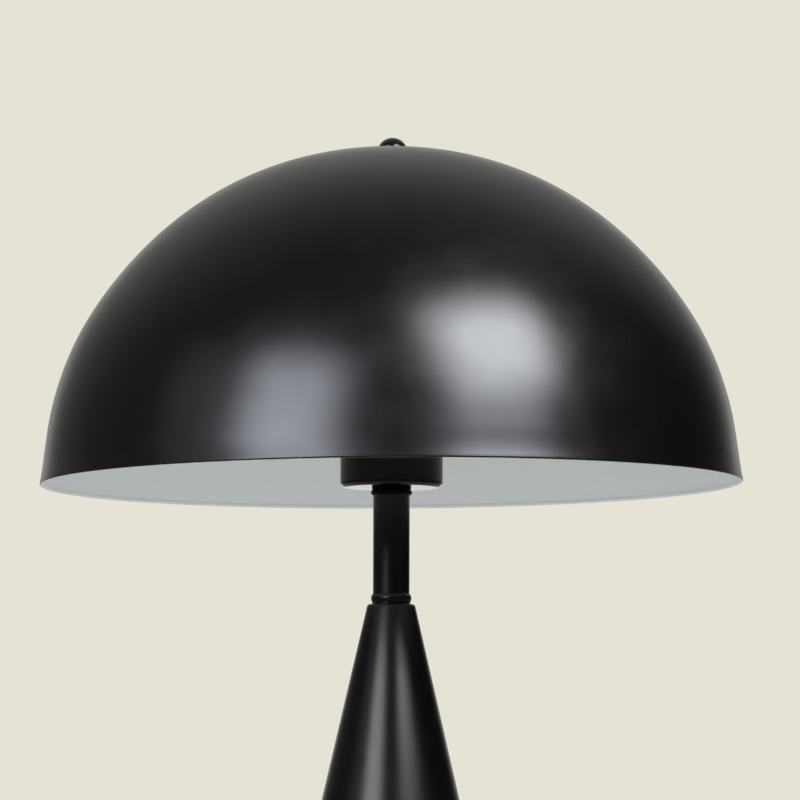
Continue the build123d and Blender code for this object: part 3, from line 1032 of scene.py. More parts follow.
@dataclass
class Cone:
    """The spun cone, its rubber edging, the weighted base inside and the cord outlet."""

    half_angle: float = 13.0
    wall: float = 1.2
    top_radius: float = 16.2
    shoulder: float = 1.51
    bore: float = 5.05
    edging_wall: float = 1.8
    edging_top: float = 8.0
    slot_gap: float = 0.05
    outlet_level: float = 40.0
    outlet_bore: float = 3.6
    outlet_neck: float = 5.9
    outlet_neck_length: float = 7.2
    outlet_flange: float = 8.0
    outlet_flange_height: float = 2.0
    sides: int = 160
    rows: int = 50

    def __post_init__(self) -> None:
        """Reads the levels from the frame."""
        self.slope = math.tan(math.radians(self.half_angle))
        self.level_wall = 1.0 / math.cos(math.radians(self.half_angle))
        self.foot = low("cone_shell")
        self.head = top("cone_shell")

    def outside(self, level: float) -> float:
        """The cone's outer radius at a level."""
        return self.top_radius + (self.head - level) * self.slope

    def inside(self, level: float) -> float:
        """The cone's inner radius at a level."""
        return self.outside(level) - self.wall * self.level_wall

    def shell(self) -> BMesh:
        """The thin cone, with a rounded shoulder and a flat top.

        Returns:
            The mesh.
        """
        ceiling = self.head - self.wall
        support = self.head - 2 * self.shoulder
        outline = Lathe(self.outside(self.foot), self.foot)
        outline.to(self.outside(support), support, parts=self.rows)
        outline.to(self.top_radius, self.head, self.shoulder)
        outline.to(self.bore, self.head).to(self.bore, ceiling)
        outline.to(self.inside(ceiling), ceiling)
        outline.to(self.inside(self.foot), self.foot, parts=self.rows // 2).close()
        return outline.turn(self.sides)

    def outlet_frame(self) -> Matrix:
        """The place where the outlet leaves the back of the cone, square to its side.

        Returns:
            The matrix of that place.
        """
        tilt = math.radians(self.half_angle)
        turn = Matrix.Rotation(tilt - math.pi / 2, 4, "X")
        spot = Vector((0.0, self.outside(self.outlet_level), self.outlet_level)) * MM
        return Matrix.Translation(spot) @ turn

    def outlet(self) -> BMesh:
        """The flanged bush that a cord would pass through.

        Returns:
            The mesh.
        """
        deep = -self.outlet_neck_length
        high = self.outlet_flange_height
        outline = Lathe(self.outlet_bore, deep).to(self.outlet_neck, deep, 0.4).to(self.outlet_neck, 0.0)
        outline.to(self.outlet_flange, 0.0, 0.15).to(self.outlet_flange, high, 0.9)
        outline.to(self.outlet_bore, high, 0.6).close(0.4)
        bush = outline.turn(72)
        bmesh.ops.transform(bush, matrix=self.outlet_frame(), verts=bush.verts[:])
        return bush

    def drilled(self, bench: Bench, shell: BMesh) -> BMesh:
        """Drills the outlet's hole through the sheet.

        Args:
            bench: Where the parts of the cut are put for a moment.
            shell: The cone without a hole.

        Returns:
            The cone with the hole.
        """
        drill = bmesh.new()
        bmesh.ops.create_cone(
            drill,
            cap_ends=True,
            segments=48,
            radius1=(self.outlet_neck + self.slot_gap) * MM,
            radius2=(self.outlet_neck + self.slot_gap) * MM,
            depth=6 * self.wall * MM,
            matrix=self.outlet_frame(),
        )
        blank = bench.object("cone blank", shell, [])
        tool = bench.object("outlet drill", drill, [])
        cut = blank.modifiers.new("drill", "BOOLEAN")
        cut.operation, cut.solver, cut.object = "DIFFERENCE", "EXACT", tool
        graph = bpy.context.evaluated_depsgraph_get()
        result = bmesh.new()
        result.from_mesh(bpy.data.meshes.new_from_object(blank.evaluated_get(graph)))
        for spare in (blank, tool):
            bpy.data.objects.remove(spare)
        return result

    def edging(self) -> BMesh:
        """The rubber edging with the slot that the sheet stands in.

        Returns:
            The mesh.
        """
        wall, gap = self.edging_wall * self.level_wall, self.slot_gap
        rise, seat = self.edging_top, self.foot
        outline = Lathe(self.outside(0) + wall, 0.0)
        outline.to(self.outside(rise / 2) + wall, rise / 2)
        outline.to(self.outside(rise) + wall, rise, 0.9)
        outline.to(self.outside(rise) + gap, rise, 0.2).to(self.outside(seat) + gap, seat)
        outline.to(self.inside(seat) - gap, seat).to(self.inside(rise) - gap, rise, 0.2)
        outline.to(self.inside(rise) - wall, rise, 0.4).to(self.inside(0) - wall, 0.0, 0.4)
        return outline.close(0.6).turn(self.sides)

    def build(self, bench: Bench) -> None:
        """Makes the cone's pieces.

        Args:
            bench: Where the pieces are made.
        """
        shell = self.drilled(bench, self.shell())
        bench.piece("cone_sheet", shell, STAND_PAINT, Body.FRAME, "cone_paint", "cone_shell")
        bench.piece("cone_edging", self.edging(), EDGING_RUBBER, Body.FRAME, "rubber", "foot_edging")
        bench.piece("cord_bush", self.outlet(), OUTLET_NYLON, Body.FRAME, "nylon", "outlet_bush")
        bench.dress(OUTLET_NYLON, "outlet_nut")
        bench.dress(BASE_FELT, "base_pad")
        bench.dress(BALLAST_IRON, "ballast_disc")
        bench.dress(FRAME_STEEL, "base_plate", "ledge_ring", "cone_plug", "tie_rod")
        bench.dress(PLATED_STEEL, "base_screws", "rod_lock_nut")


# --- Stem and cup -----------------------------------------------------------------------


@dataclass
class Stem:
    """The tube between the cone and the cup, with its collars and washers."""

    bore: float = 5.05
    tube: float = 12.5
    tube_wall: float = 1.5
    lower_edge: float = 13.1
    lower_socket: float = 3.0
    upper_edge: float = 13.2
    upper_socket: float = 2.0
    socket_gap: float = 0.05
    lower_break: float = 0.15  # width and height of the broken edges
    lower_rise: float = 0.12
    upper_break: float = 0.1
    bead_steps: int = 16
    neck_groove: float = 0.55
    groove_height: float = 0.35
    sides: int = 128

    def washer(self) -> BMesh:
        """The thin washer that the lower collar stands on.

        Returns:
            The mesh.
        """
        wide, foot, head = span("seat_washer")
        outline = Lathe(self.bore, foot).to(wide, foot, 0.1).to(wide, head, 0.15).to(self.bore, head)
        return outline.close().turn(self.sides)

    def lower(self) -> BMesh:
        """The deep beaded collar on the cone.

        Returns:
            The mesh.
        """
        wide, foot, head = span("lower_collar")
        socket = self.tube + self.socket_gap
        edge, rise = self.lower_edge, self.lower_rise
        outline = Lathe(self.bore, foot).to(edge - self.lower_break, foot).to(edge, foot + rise)
        outline.through((wide, (foot + head) / 2), (edge, head - rise), self.bead_steps)
        outline.to(edge - self.lower_break, head).to(socket, head, 0.1)
        outline.to(socket, head - self.lower_socket).to(self.bore, head - self.lower_socket)
        return outline.close().turn(self.sides)

    def pipe(self) -> BMesh:
        """The stem's tube.

        Returns:
            The mesh.
        """
        foot, head = low("stem_tube"), top("stem_tube")
        outline = Lathe(self.tube, foot).to(self.tube, head, parts=6)
        outline.to(self.tube - self.tube_wall, head).to(self.tube - self.tube_wall, foot, parts=3)
        return outline.close().turn(self.sides)

    def upper(self) -> BMesh:
        """The slim beaded collar under the cup.

        Returns:
            The mesh.
        """
        wide, foot, head = span("upper_collar")
        socket = self.tube + self.socket_gap
        edge, rise = self.upper_edge, self.upper_break
        outline = Lathe(socket, foot).to(edge - rise, foot).to(edge, foot + rise)
        outline.through((wide, (foot + head) / 2), (edge, head - rise), self.bead_steps)
        outline.to(edge - rise, head).to(self.bore, head)
        outline.to(self.bore, foot + self.upper_socket).to(socket, foot + self.upper_socket)
        return outline.close(0.1).turn(self.sides)

    def neck(self) -> BMesh:
        """The spacer under the cup, with a groove over the collar.

        Returns:
            The mesh.
        """
        wide, foot, head = span("neck_spacer")
        waist = wide - self.neck_groove
        outline = Lathe(self.bore, foot).to(waist, foot).to(waist, foot + self.groove_height)
        outline.to(wide, foot + self.groove_height, 0.12).to(wide, head).to(self.bore, head)
        return outline.close().turn(self.sides)

    def build(self, bench: Bench) -> None:
        """Makes the stem's pieces.

        Args:
            bench: Where the pieces are made.
        """
        for name, mesh, finish, node in (
            ("stem_seat", self.washer(), STAND_PAINT, "seat_washer"),
            ("stem_lower_bead", self.lower(), STAND_PAINT, "lower_collar"),
            ("stem_pipe", self.pipe(), STAND_PAINT, "stem_tube"),
            # the upper bead and the neck take the darker paint, painted shade under the cup
            ("stem_upper_bead", self.upper(), SHADED_NECK_PAINT, "upper_collar"),
            ("stem_neck", self.neck(), SHADED_NECK_PAINT, "neck_spacer"),
        ):
            bench.piece(name, mesh, finish, Body.FRAME, "stem_paint", node)


@dataclass
class Cup:
    """The spun cup round the lampholder, and what is clamped in it."""

    bore: float = 5.05
    wall: float = 1.0
    corner: float = 3.8
    lip: float = 0.4
    floor_lead: float = 1.5  # flat and upright stretches beside the corner
    side_lead: float = 2.0
    gloss_climb: float = 62.0  # degrees of the corner that the floor's lacquer covers
    sides: int = 160

    def shell(self) -> BMesh:
        """The cup, with its flat floor marked for its own finish.

        Returns:
            The mesh.
        """
        wide, foot, head = span("socket_cup")
        inner, floor = wide - self.wall, foot + self.wall
        outline = Lathe(self.bore, foot).to(wide - self.corner - self.floor_lead, foot, parts=6)
        outline.to(wide, foot, self.corner).to(wide, foot + self.corner + self.side_lead)
        outline.to(wide, head, self.lip, parts=6).to(inner, head, self.lip)
        outline.to(inner, floor, self.corner - self.wall).to(self.bore, floor)
        cup = outline.close().turn(self.sides)
        for face in cup.faces:
            spot = face.calc_center_median()
            outside = face.normal.z < -math.cos(math.radians(self.gloss_climb))
            if outside and spot.z < (foot + self.corner) * MM:
                face.material_index = 1
        return cup

    def build(self, bench: Bench) -> None:
        """Makes the cup and dresses the hardware in it.

        Args:
            bench: Where the pieces are made.
        """
        finishes: list[Finish] = [CUP_PAINT, CUP_FLOOR_PAINT]
        bench.piece("cup_shell", self.shell(), finishes, Body.FRAME, "stem_paint", "socket_cup")
        bench.dress(FRAME_STEEL, "harp_saddle")
        bench.dress(PLATED_STEEL, "lock_washer", "clamp_nut")
        bench.dress(CONTACT_BRASS, "earth_tag")


# --- Lampholder and bulb ----------------------------------------------------------------


@dataclass
class Lampholder:
    """The two moulded halves of the lampholder, and its dressed inner parts."""

    rod: float = 5.05
    entry: float = 8.0
    entry_height: float = 4.0
    bell_radius: float = 9.6
    bell_degrees: float = 60.0
    shoulder_drop: float = 6.0
    band: float = 3.0
    neck: float = 17.6
    neck_wall: float = 2.0
    insert_sink: float = 8.0
    rod_depth: float = 9.0
    rod_ledge: float = 1.0
    skirt_wall: float = 2.2
    mouth: float = 14.35
    lip_height: float = 1.6
    grip_low: float = 4.0
    grip_high: float = 12.0
    grip_depth: float = 0.3
    rib_edge: float = 0.25
    outside_share: float = 0.99  # of the radius, beyond which a face is an outer one
    sides: int = 96

    def cap(self) -> BMesh:
        """The lower half: a threaded entry that opens into a bell.

        Returns:
            The mesh.
        """
        wide, foot, head = span("holder_cap")
        ledge = head - self.shoulder_drop
        spring = ledge - self.band
        angle = math.radians(self.bell_degrees)
        middle = wide - self.bell_radius
        out, down = self.bell_radius * math.cos(angle), self.bell_radius * math.sin(angle)
        sunk = head - self.insert_sink
        hollow = self.neck - self.neck_wall
        outline = Lathe(self.rod, foot).to(self.entry, foot, 0.4)
        outline.to(self.entry, foot + self.entry_height, 0.5)
        outline.to(middle + out, spring - down).arc(middle, spring, self.bell_degrees, 14)
        outline.to(wide, ledge, 0.35).to(self.neck, ledge).to(self.neck, head, 0.2)
        outline.to(hollow, head, 0.2).to(hollow, sunk).to(hollow - self.neck_wall, sunk)
        outline.to(self.rod + self.rod_ledge, foot + self.rod_depth).to(self.rod, foot + self.rod_depth)
        return outline.close().turn(self.sides)

    def skirt(self) -> BMesh:
        """The upper half, with ribs for the fingers.

        Returns:
            The mesh.
        """
        foot, head = low("holder_skirt"), top("holder_skirt")
        bore = self.neck + THREAD_CLEARANCE
        wide = bore + self.skirt_wall - self.grip_depth
        outline = Lathe(bore, foot).to(wide, foot, 0.3).to(wide, foot + self.grip_low)
        outline.to(wide, foot + self.grip_high).to(wide, head, 0.8)
        outline.to(self.mouth, head, 0.35).to(self.mouth, head - self.lip_height, 0.2)
        outline.to(bore, head - self.lip_height)
        skirt = outline.close().turn(self.sides)
        middle = (foot + (self.grip_low + self.grip_high) / 2) * MM
        band = [face for face in skirt.faces if self.gripped(face, middle, wide * MM)]
        edge, depth = self.rib_edge * MM, self.grip_depth * MM
        bmesh.ops.inset_individual(skirt, faces=band, thickness=edge, depth=depth)
        return skirt

    def gripped(self, face: bmesh.types.BMFace, level: float, radius: float) -> bool:
        """Whether a face of the skirt becomes a rib: every other one round the grip.

        Args:
            face: The face.
            level: The grip's middle level, in metres.
            radius: The skirt's radius, in metres.

        Returns:
            True where it becomes a rib.
        """
        spot = face.calc_center_median()
        if abs(spot.z - level) > MM or spot.xy.length < radius * self.outside_share:
            return False
        turn = math.atan2(spot.y, spot.x) % math.tau
        return int(turn / math.tau * self.sides) % 2 == 0

    def build(self, bench: Bench) -> None:
        """Makes the two halves and dresses what is inside them.

        Args:
            bench: Where the pieces are made.
        """
        body, slot = Body.FRAME, "holder_black"
        bench.piece("holder_bell", self.cap(), HOLDER_PLASTIC, body, slot, "holder_cap")
        bench.piece("holder_sleeve", self.skirt(), HOLDER_PLASTIC, body, slot, "holder_skirt", crease=20.0)
        bench.dress(HOLDER_GLAZE, "holder_insert")
        bench.dress(CONTACT_BRASS, "terminal_screws", "screw_shell", "centre_contact")


@dataclass
class Bulb:
    """A plain opal bulb with a 27 mm screw cap."""

    cap_core: float = 12.35
    cap_break: float = 0.9
    cap_rise: float = 1.3
    cap_waist: float = 2.6  # under the cap's head, where its collar begins
    cap_collar: float = 1.8
    thread_start: float = 2.6
    thread_bead: float = 0.95
    thread_pitch: float = 3.63
    thread_turns: float = 3.6
    insulator_foot: float = 5.2
    tip_flat: float = 3.4
    neck: float = 14.4
    belly_inset: float = 1.5
    belly_share: float = 0.56
    neck_break: float = 0.6
    neck_rise: float = 0.4
    seam_break: float = 0.4
    seam_drop: float = 0.5
    globe_break: float = 0.3
    diffuser_wall: float = 1.2
    sides: int = 96

    def tip(self) -> BMesh:
        """The soldered contact at the cap's end.

        Returns:
            The mesh.
        """
        wide, foot, head = span("bulb_tip")
        outline = Lathe(0.0, foot).to(self.tip_flat, foot, 0.5).to(wide, head, 0.2).to(0.0, head)
        return outline.turn(48)

    def insulator(self) -> BMesh:
        """The black ring between the tip and the cap.

        Returns:
            The mesh.
        """
        wide, foot, head = span("bulb_insulator")
        outline = Lathe(0.0, foot).to(self.insulator_foot, foot, 0.4).to(wide, head, 0.3).to(0.0, head)
        return outline.turn(72)

    def cap(self) -> BMesh:
        """The cap's sleeve, with a rolled thread round it.

        Returns:
            The mesh.
        """
        wide, foot, head = span("bulb_cap")
        core = self.cap_core
        outline = Lathe(0.0, foot).to(core - self.cap_break, foot, 0.4)
        outline.to(core, foot + self.cap_rise, 0.4).to(core, head - self.cap_waist, 0.5)
        outline.to(wide, head - self.cap_collar, 0.4).to(wide, head).to(0.0, head)
        cap = outline.turn(self.sides)
        crest, start = wide - self.thread_bead, foot + self.thread_start
        thread = Lathe(wide, start).arc(crest, start, 330.0, 15).close()
        spiral = thread.wind(self.thread_turns, self.thread_pitch, 72)
        carrier = as_data("thread carrier", spiral)
        cap.from_mesh(carrier)
        bpy.data.meshes.remove(carrier)
        return cap

    def housing(self) -> BMesh:
        """The white half that swells from the cap to the widest part.

        Returns:
            The mesh.
        """
        wide, foot, head = span("bulb_housing")
        belly = ((self.neck + wide) / 2 - self.belly_inset, foot + (head - foot) * self.belly_share)
        outline = Lathe(0.0, foot).to(self.neck - self.neck_break, foot, 0.2)
        outline.to(self.neck, foot + self.neck_rise)
        outline.through(belly, (wide, head - self.seam_drop), 24)
        outline.to(wide - self.seam_break, head).to(0.0, head)
        return outline.turn(self.sides)

    def diffuser(self) -> BMesh:
        """The opal globe, which has a real wall.

        Returns:
            The mesh.
        """
        wide, foot, head = span("bulb_diffuser")
        shoulder, wall = head - wide, self.diffuser_wall
        outline = Lathe(wide - wall, foot).to(wide - self.globe_break, foot)
        outline.to(wide, foot + self.globe_break).to(wide, shoulder, parts=4)
        outline.arc(0.0, shoulder, 90.0, 30)
        outline.to(0.0, head - wall).arc(0.0, shoulder, -90.0, 20)
        return outline.close(parts=2).turn(self.sides)

    def build(self, bench: Bench) -> None:
        """Makes the bulb's pieces.

        Args:
            bench: Where the pieces are made.
        """
        for name, mesh, finish, slot, node in (
            ("bulb_contact_tip", self.tip(), TIP_SOLDER, "tip_metal", "bulb_tip"),
            ("bulb_black_ring", self.insulator(), CAP_GLASS, "insulator_black", "bulb_insulator"),
            ("bulb_screw_cap", self.cap(), CAP_METAL, "cap_metal", "bulb_cap"),
            ("bulb_white_half", self.housing(), BULB_PLASTIC, "bulb_white", "bulb_housing"),
            ("bulb_opal_half", self.diffuser(), BULB_OPAL, "opal", "bulb_diffuser"),
        ):
            bench.piece(name, mesh, finish, Body.BULB, slot, node)


# --- Harp, shade and finial -------------------------------------------------------------


@dataclass
class Harp:
    """The bent wire that carries the shade, its stud and the two sliding ferrules."""

    wire: float = 1.8
    wire_break: float = 0.4
    leg_offset: float = 27.6
    half_width: float = 57.0
    leg: float = 36.0
    flare_degrees: float = 45.0
    side: float = 22.0
    shoulder_degrees: float = 45.0
    crown_flat: float = 8.5
    block_radius: float = 7.5
    block_height: float = 7.4
    block_chamfer: float = 0.6
    stud: float = 3.0
    stud_root: float = 2.7
    stud_pitch: float = 1.0
    stud_tip: float = 0.4  # height and width of the stud's broken end
    stud_break: float = 0.5
    ferrule_bore: float = 3.79
    ferrule_roll: float = 0.35
    roll_height: float = 1.0
    roll_end: float = 1.5
    sides: int = 20

    def __post_init__(self) -> None:
        """Reads the levels from the frame."""
        self.foot = low("harp_wire")
        self.block_foot = low("harp_stud")
        self.seat = self.block_foot + self.block_height

    def upper_radii(self, flare_radius: float) -> Pair:
        """The radii of shoulder and crown, which close the outline at the block.

        Args:
            flare_radius: Radius of the two bends over the leg.

        Returns:
            The shoulder's and the crown's radius.
        """
        flare, bend = math.radians(self.flare_degrees), math.radians(self.shoulder_degrees)
        side_top = self.foot + self.leg + 2 * flare_radius * math.sin(flare) + self.side
        width = self.half_width - self.crown_flat
        height = self.seat - self.block_height / 2 - side_top
        wide, tall = 1 - math.cos(bend), 1 - math.sin(bend)
        closing = wide * tall - math.cos(bend) * math.sin(bend)
        shoulder = (width * tall - math.cos(bend) * height) / closing
        crown = (wide * height - width * math.sin(bend)) / closing
        return shoulder, crown

    def bow(self) -> BMesh:
        """The wire, from the foot of the right leg over to the foot of the left one.

        Returns:
            The mesh.
        """
        flare = math.radians(self.flare_degrees)
        flare_radius = (self.half_width - self.leg_offset) / (2 * (1 - math.cos(flare)))
        shoulder, crown = self.upper_radii(flare_radius)
        up = [
            (0.0, self.leg, 6),
            (flare_radius, -self.flare_degrees, 12),
            (flare_radius, self.flare_degrees, 12),
            (0.0, self.side, 3),
            (shoulder, self.shoulder_degrees, 20),
            (crown, 90.0 - self.shoulder_degrees, 10),
            (0.0, self.crown_flat, 2),
        ]
        wire = BentWire(self.wire, self.leg_offset, self.foot, self.sides)
        for radius, amount, parts in up + up[::-1]:
            if radius:
                wire.bend(radius, amount, parts)
            else:
                wire.straight(amount, parts)
        return wire.cut(self.wire_break)

    def block(self) -> BMesh:
        """The block on the wire's crown, with the threaded stud for the finial.

        Returns:
            The mesh.
        """
        head = top("harp_stud")
        outline = Lathe(0.0, self.block_foot).to(self.block_radius, self.block_foot, self.block_chamfer)
        outline.to(self.block_radius, self.seat, self.block_chamfer).to(self.stud_root, self.seat)
        level = self.seat + self.stud_pitch / 2
        while level < head - self.stud_pitch:
            outline.to(self.stud, level).to(self.stud_root, level + self.stud_pitch / 2)
            level += self.stud_pitch
        outline.to(self.stud_root, head - self.stud_tip).to(self.stud_root - self.stud_break, head)
        outline.to(0.0, head)
        return outline.turn(64)

    def ferrule(self, node: str) -> BMesh:
        """A sleeve with rolled ends, round a leg and its ear.

        Args:
            node: The CAD node that it stands for.

        Returns:
            The mesh.
        """
        near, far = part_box(node)
        middle = (near[0] + far[0]) / 2
        wide = (far[0] - near[0]) / 2 / MM
        foot, head, waist = low(node), top(node), wide - self.ferrule_roll
        outline = Lathe(self.ferrule_bore, foot).to(wide, foot, 0.3).to(wide, foot + self.roll_height, 0.3)
        outline.to(waist, foot + self.roll_end, 0.3).to(waist, head - self.roll_end, 0.3, parts=4)
        outline.to(wide, head - self.roll_height, 0.3).to(wide, head, 0.3)
        outline.to(self.ferrule_bore, head, 0.2)
        sleeve = outline.close(0.2).turn(56)
        bmesh.ops.translate(sleeve, vec=(middle, 0.0, 0.0), verts=sleeve.verts[:])
        return sleeve

    def build(self, bench: Bench) -> None:
        """Makes the harp's pieces.

        Args:
            bench: Where the pieces are made.
        """
        slot = "harp_steel"
        bench.piece("harp_bow", self.bow(), HARP_STEEL, Body.HARP, slot, "harp_wire", crease=50.0)
        bench.piece("harp_block", self.block(), HARP_STEEL, Body.HARP, slot, "harp_stud")
        for side, body in (("right", Body.RIGHT_FERRULE), ("left", Body.LEFT_FERRULE)):
            node = f"{side}_ferrule"
            bench.piece(f"{side}_sleeve", self.ferrule(node), HARP_STEEL, body, slot, node)


@dataclass
class Shade:
    """The spun dome, black outside and white inside, with its folded rim and washer."""

    radius: float = 239.1
    wall: float = 1.0
    fold: float = 1.1
    hole: float = 5.2
    # broad rises and hollows that spinning left: degrees over the centre, millimetres, spread
    swells: tuple[Triple, ...] = ((64.0, 0.62, 16.0), (25.0, 1.0, 10.5), (8.0, -0.5, 4.0))
    swell_end: float = 12.0  # degrees under the apex, over which the swells die out
    flare_start: float = 6.0
    flare_power: float = 2.5
    flare_lead: float = 2.0  # degrees over the flare that share its finer steps
    coat_line: float = 0.95  # share of the wall that lies outside the white coat
    seat_tilt: float = 0.483  # degrees that the dome has slipped round on its washer
    washer_bore: float = 3.3
    sides: int = 256
    outer_steps: int = 84
    inner_steps: int = 66
    flare_steps: int = 14
    fold_steps: int = 14

    def __post_init__(self) -> None:
        """Reads the levels from the frame."""
        self.rim = low("shade_dome")
        self.apex = top("shade_dome")
        # the CAD dome's box ends where its hole begins, a little under the full apex
        self.centre = self.apex - math.sqrt(self.radius**2 - self.hole**2)
        self.edge = self.angle(self.rim + self.fold, self.radius)
        self.flare = reach("shade_dome") - self.radius * math.cos(math.radians(self.edge))

    def angle(self, level: float, radius: float) -> float:
        """The angle over the centre at which a circle of this radius reaches a level."""
        return math.degrees(math.asin((level - self.centre) / radius))

    def swell(self, angle: float) -> float:
        """How far the sheet stands off the true sphere.

        Args:
            angle: Degrees over the sphere's centre.

        Returns:
            Millimetres, outwards.
        """
        rises = sum(rise * math.exp(-(((angle - at) / spread) ** 2)) for at, rise, spread in self.swells)
        lean = max(self.flare_start - angle, 0.0) / (self.flare_start - self.edge)
        return rises * min(1.0, (90.0 - angle) / self.swell_end) + self.flare * lean**self.flare_power

    def polar(self, spot: Vector) -> Pair:
        """The angle over the sphere's centre and the distance from it, in millimetres."""
        across, up = spot.xy.length / MM, spot.z / MM - self.centre
        return math.degrees(math.atan2(up, across)), math.hypot(across, up)

    def dome(self) -> BMesh:
        """The dome with its flared and folded rim, its inside marked for the white coat.

        Returns:
            The mesh.
        """
        inner = self.radius - self.wall
        start = math.degrees(math.acos(self.hole / self.radius))
        bend = self.flare_start + self.flare_lead
        outline = Lathe(self.hole, self.apex).arc(0.0, self.centre, bend - start, self.outer_steps)
        outline.arc(0.0, self.centre, self.edge - bend, self.flare_steps)
        # the fold runs down, under and up to where the inner face begins
        side = self.radius * math.cos(math.radians(self.edge))
        under = 360.0 - math.degrees(math.acos(1 - self.wall / self.fold))
        outline.arc(side - self.fold, self.rim + self.fold, -under, self.fold_steps)
        begin, _ = self.polar(outline.pen.co)
        outline.arc(0.0, self.centre, bend - begin, self.flare_steps)
        inner_start = math.degrees(math.acos(self.hole / inner))
        outline.arc(0.0, self.centre, inner_start - bend, self.inner_steps)
        outline.close()
        for spot in outline.mesh.verts:
            angle, _ = self.polar(spot.co)
            outward = Vector((math.cos(math.radians(angle)), 0.0, math.sin(math.radians(angle))))
            bmesh.ops.translate(outline.mesh, vec=outward * self.swell(angle) * MM, verts=[spot])
        dome = outline.turn(self.sides)
        coat = self.radius - self.coat_line * self.wall
        for face in dome.faces:
            angle, distance = self.polar(face.calc_center_median())
            face.material_index = int(distance - self.swell(angle) < coat)
        middle = Vector((0.0, 0.0, self.centre * MM))
        lean = Matrix.Rotation(math.radians(-self.seat_tilt), 3, "Y")
        bmesh.ops.rotate(dome, cent=middle, matrix=lean, verts=dome.verts[:])
        return dome

    def washer(self) -> BMesh:
        """The stiffening washer under the apex.

        Returns:
            The mesh.
        """
        wide, foot, head = span("shade_washer")
        inner = self.radius - self.wall - THREAD_CLEARANCE
        edge = self.centre + math.sqrt(inner**2 - wide**2)
        outline = Lathe(self.washer_bore, foot).to(wide, foot, 0.3).to(wide, edge, 0.1)
        middle = (wide / 2, self.centre + math.sqrt(inner**2 - wide**2 / 4))
        outline.through(middle, (self.washer_bore, head), 6)
        return outline.close().turn(96)

    def build(self, bench: Bench) -> None:
        """Makes the shade's pieces.

        Args:
            bench: Where the pieces are made.
        """
        finishes: list[Finish] = [SHADE_PAINT, SHADE_COAT]
        dome, body = self.dome(), Body.SHADE
        bench.piece("shade_spun_dome", dome, finishes, body, "dome_paint", "shade_dome", crease=60.0)
        bench.piece("shade_stiffener", self.washer(), HARP_STEEL, body, "harp_steel", "shade_washer")


@dataclass
class FinialSet:
    """The low domed nut that holds the shade, and the washer under it."""

    bore: float = 3.3
    thread: float = 3.05
    thread_depth: float = 6.2
    ball: float = 10.6
    edge_height: float = 0.5
    sides: int = 96

    def washer(self) -> BMesh:
        """The thin washer on the dome's top.

        Returns:
            The mesh.
        """
        wide, foot, head = span("finial_washer")
        outline = Lathe(self.bore, foot).to(wide, foot, 0.15).to(wide, head, 0.25).to(self.bore, head, 0.1)
        return outline.close().turn(self.sides)

    def nut(self) -> BMesh:
        """The domed nut with a blind hole.

        Returns:
            The mesh.
        """
        foot, head = low("finial"), top("finial")
        middle = head - self.ball
        edge_level = foot + self.edge_height
        wide = math.sqrt(self.ball**2 - (edge_level - middle) ** 2)
        rise = 90.0 - math.degrees(math.atan2(edge_level - middle, wide))
        outline = Lathe(0.0, foot + self.thread_depth).to(self.thread, foot + self.thread_depth)
        outline.to(self.thread, foot, 0.3).to(wide, foot, 0.2).to(wide, edge_level)
        return outline.arc(0.0, middle, rise, 30).turn(self.sides)

    def build(self, bench: Bench) -> None:
        """Makes the finial's pieces.

        Args:
            bench: Where the pieces are made.
        """
        slot = "finial_black"
        bench.piece("finial_disc", self.washer(), FINIAL_PAINT, Body.FINIAL_WASHER, slot, "finial_washer")
        bench.piece("finial_dome", self.nut(), FINIAL_PAINT, Body.FINIAL, slot, "finial")


# --- Studio -----------------------------------------------------------------------------


COOL: Triple = (0.93, 0.965, 1.0)
COOLER: Triple = (0.905, 0.955, 1.06)


@dataclass(frozen=True)
class LightCard:
    """A soft-edged card that shows in gloss alone, placed by its direction from the lamp."""

    name: str
    azimuth: float  # degrees to the right of the front
    elevation: float
    distance: float
    width: float
    height: float
    radiance: float
    soft_sides: float  # width of the soft edges, in metres
    soft_top: float
    soft_foot: float
    color: Triple = COOL

    def material(self) -> bpy.types.Material:
        """A glow on the card's front that fades towards its edges and hides nothing behind.

        Returns:
            The material.
        """
        material, recipe = new_material(self.name)
        place = recipe.add("ShaderNodeSeparateXYZ")
        recipe.link(recipe.place(), place.inputs[0])
        wide, tall = self.width / 2, self.height / 2
        off = recipe.sums("ABSOLUTE", place.outputs["X"])
        sides = recipe.fade(off, wide - self.soft_sides, wide, 1.0, 0.0)
        head = recipe.fade(place.outputs["Y"], tall - self.soft_top, tall, self.radiance, 0.0)
        foot = recipe.fade(place.outputs["Y"], -tall, self.soft_foot - tall)
        glow = recipe.sums("MULTIPLY", recipe.sums("MULTIPLY", head, foot), sides)
        shine = recipe.add("ShaderNodeEmission", Color=(*self.color, 1.0))
        recipe.link(glow, shine.inputs["Strength"])
        clear = recipe.add("ShaderNodeBsdfTransparent").outputs[0]
        front = recipe.blend("ShaderNodeAddShader", shine.outputs[0], clear)
        back = recipe.add("ShaderNodeNewGeometry").outputs["Backfacing"]
        recipe.end(recipe.mix(back, front, clear))
        return material

    def hang(self, target: Vector) -> None:
        """Hangs the card so that it looks at the target.

        Args:
            target: What the card looks at.
        """
        away = bearing(self.azimuth, self.elevation)
        mesh = bmesh.new()
        bmesh.ops.create_grid(mesh, x_segments=1, y_segments=1, size=0.5)
        bmesh.ops.scale(mesh, vec=(self.width, self.height, 1.0), verts=mesh.verts[:])
        card = stand(self.name, as_data(self.name, mesh))
        card.data.materials.append(self.material())
        turn = (-away).to_track_quat("Z", "Y").to_matrix().to_4x4()
        card.matrix_world = Matrix.Translation(target + away * self.distance) @ turn
        card.visible_camera = False
        card.visible_shadow = False
        card.visible_diffuse = False


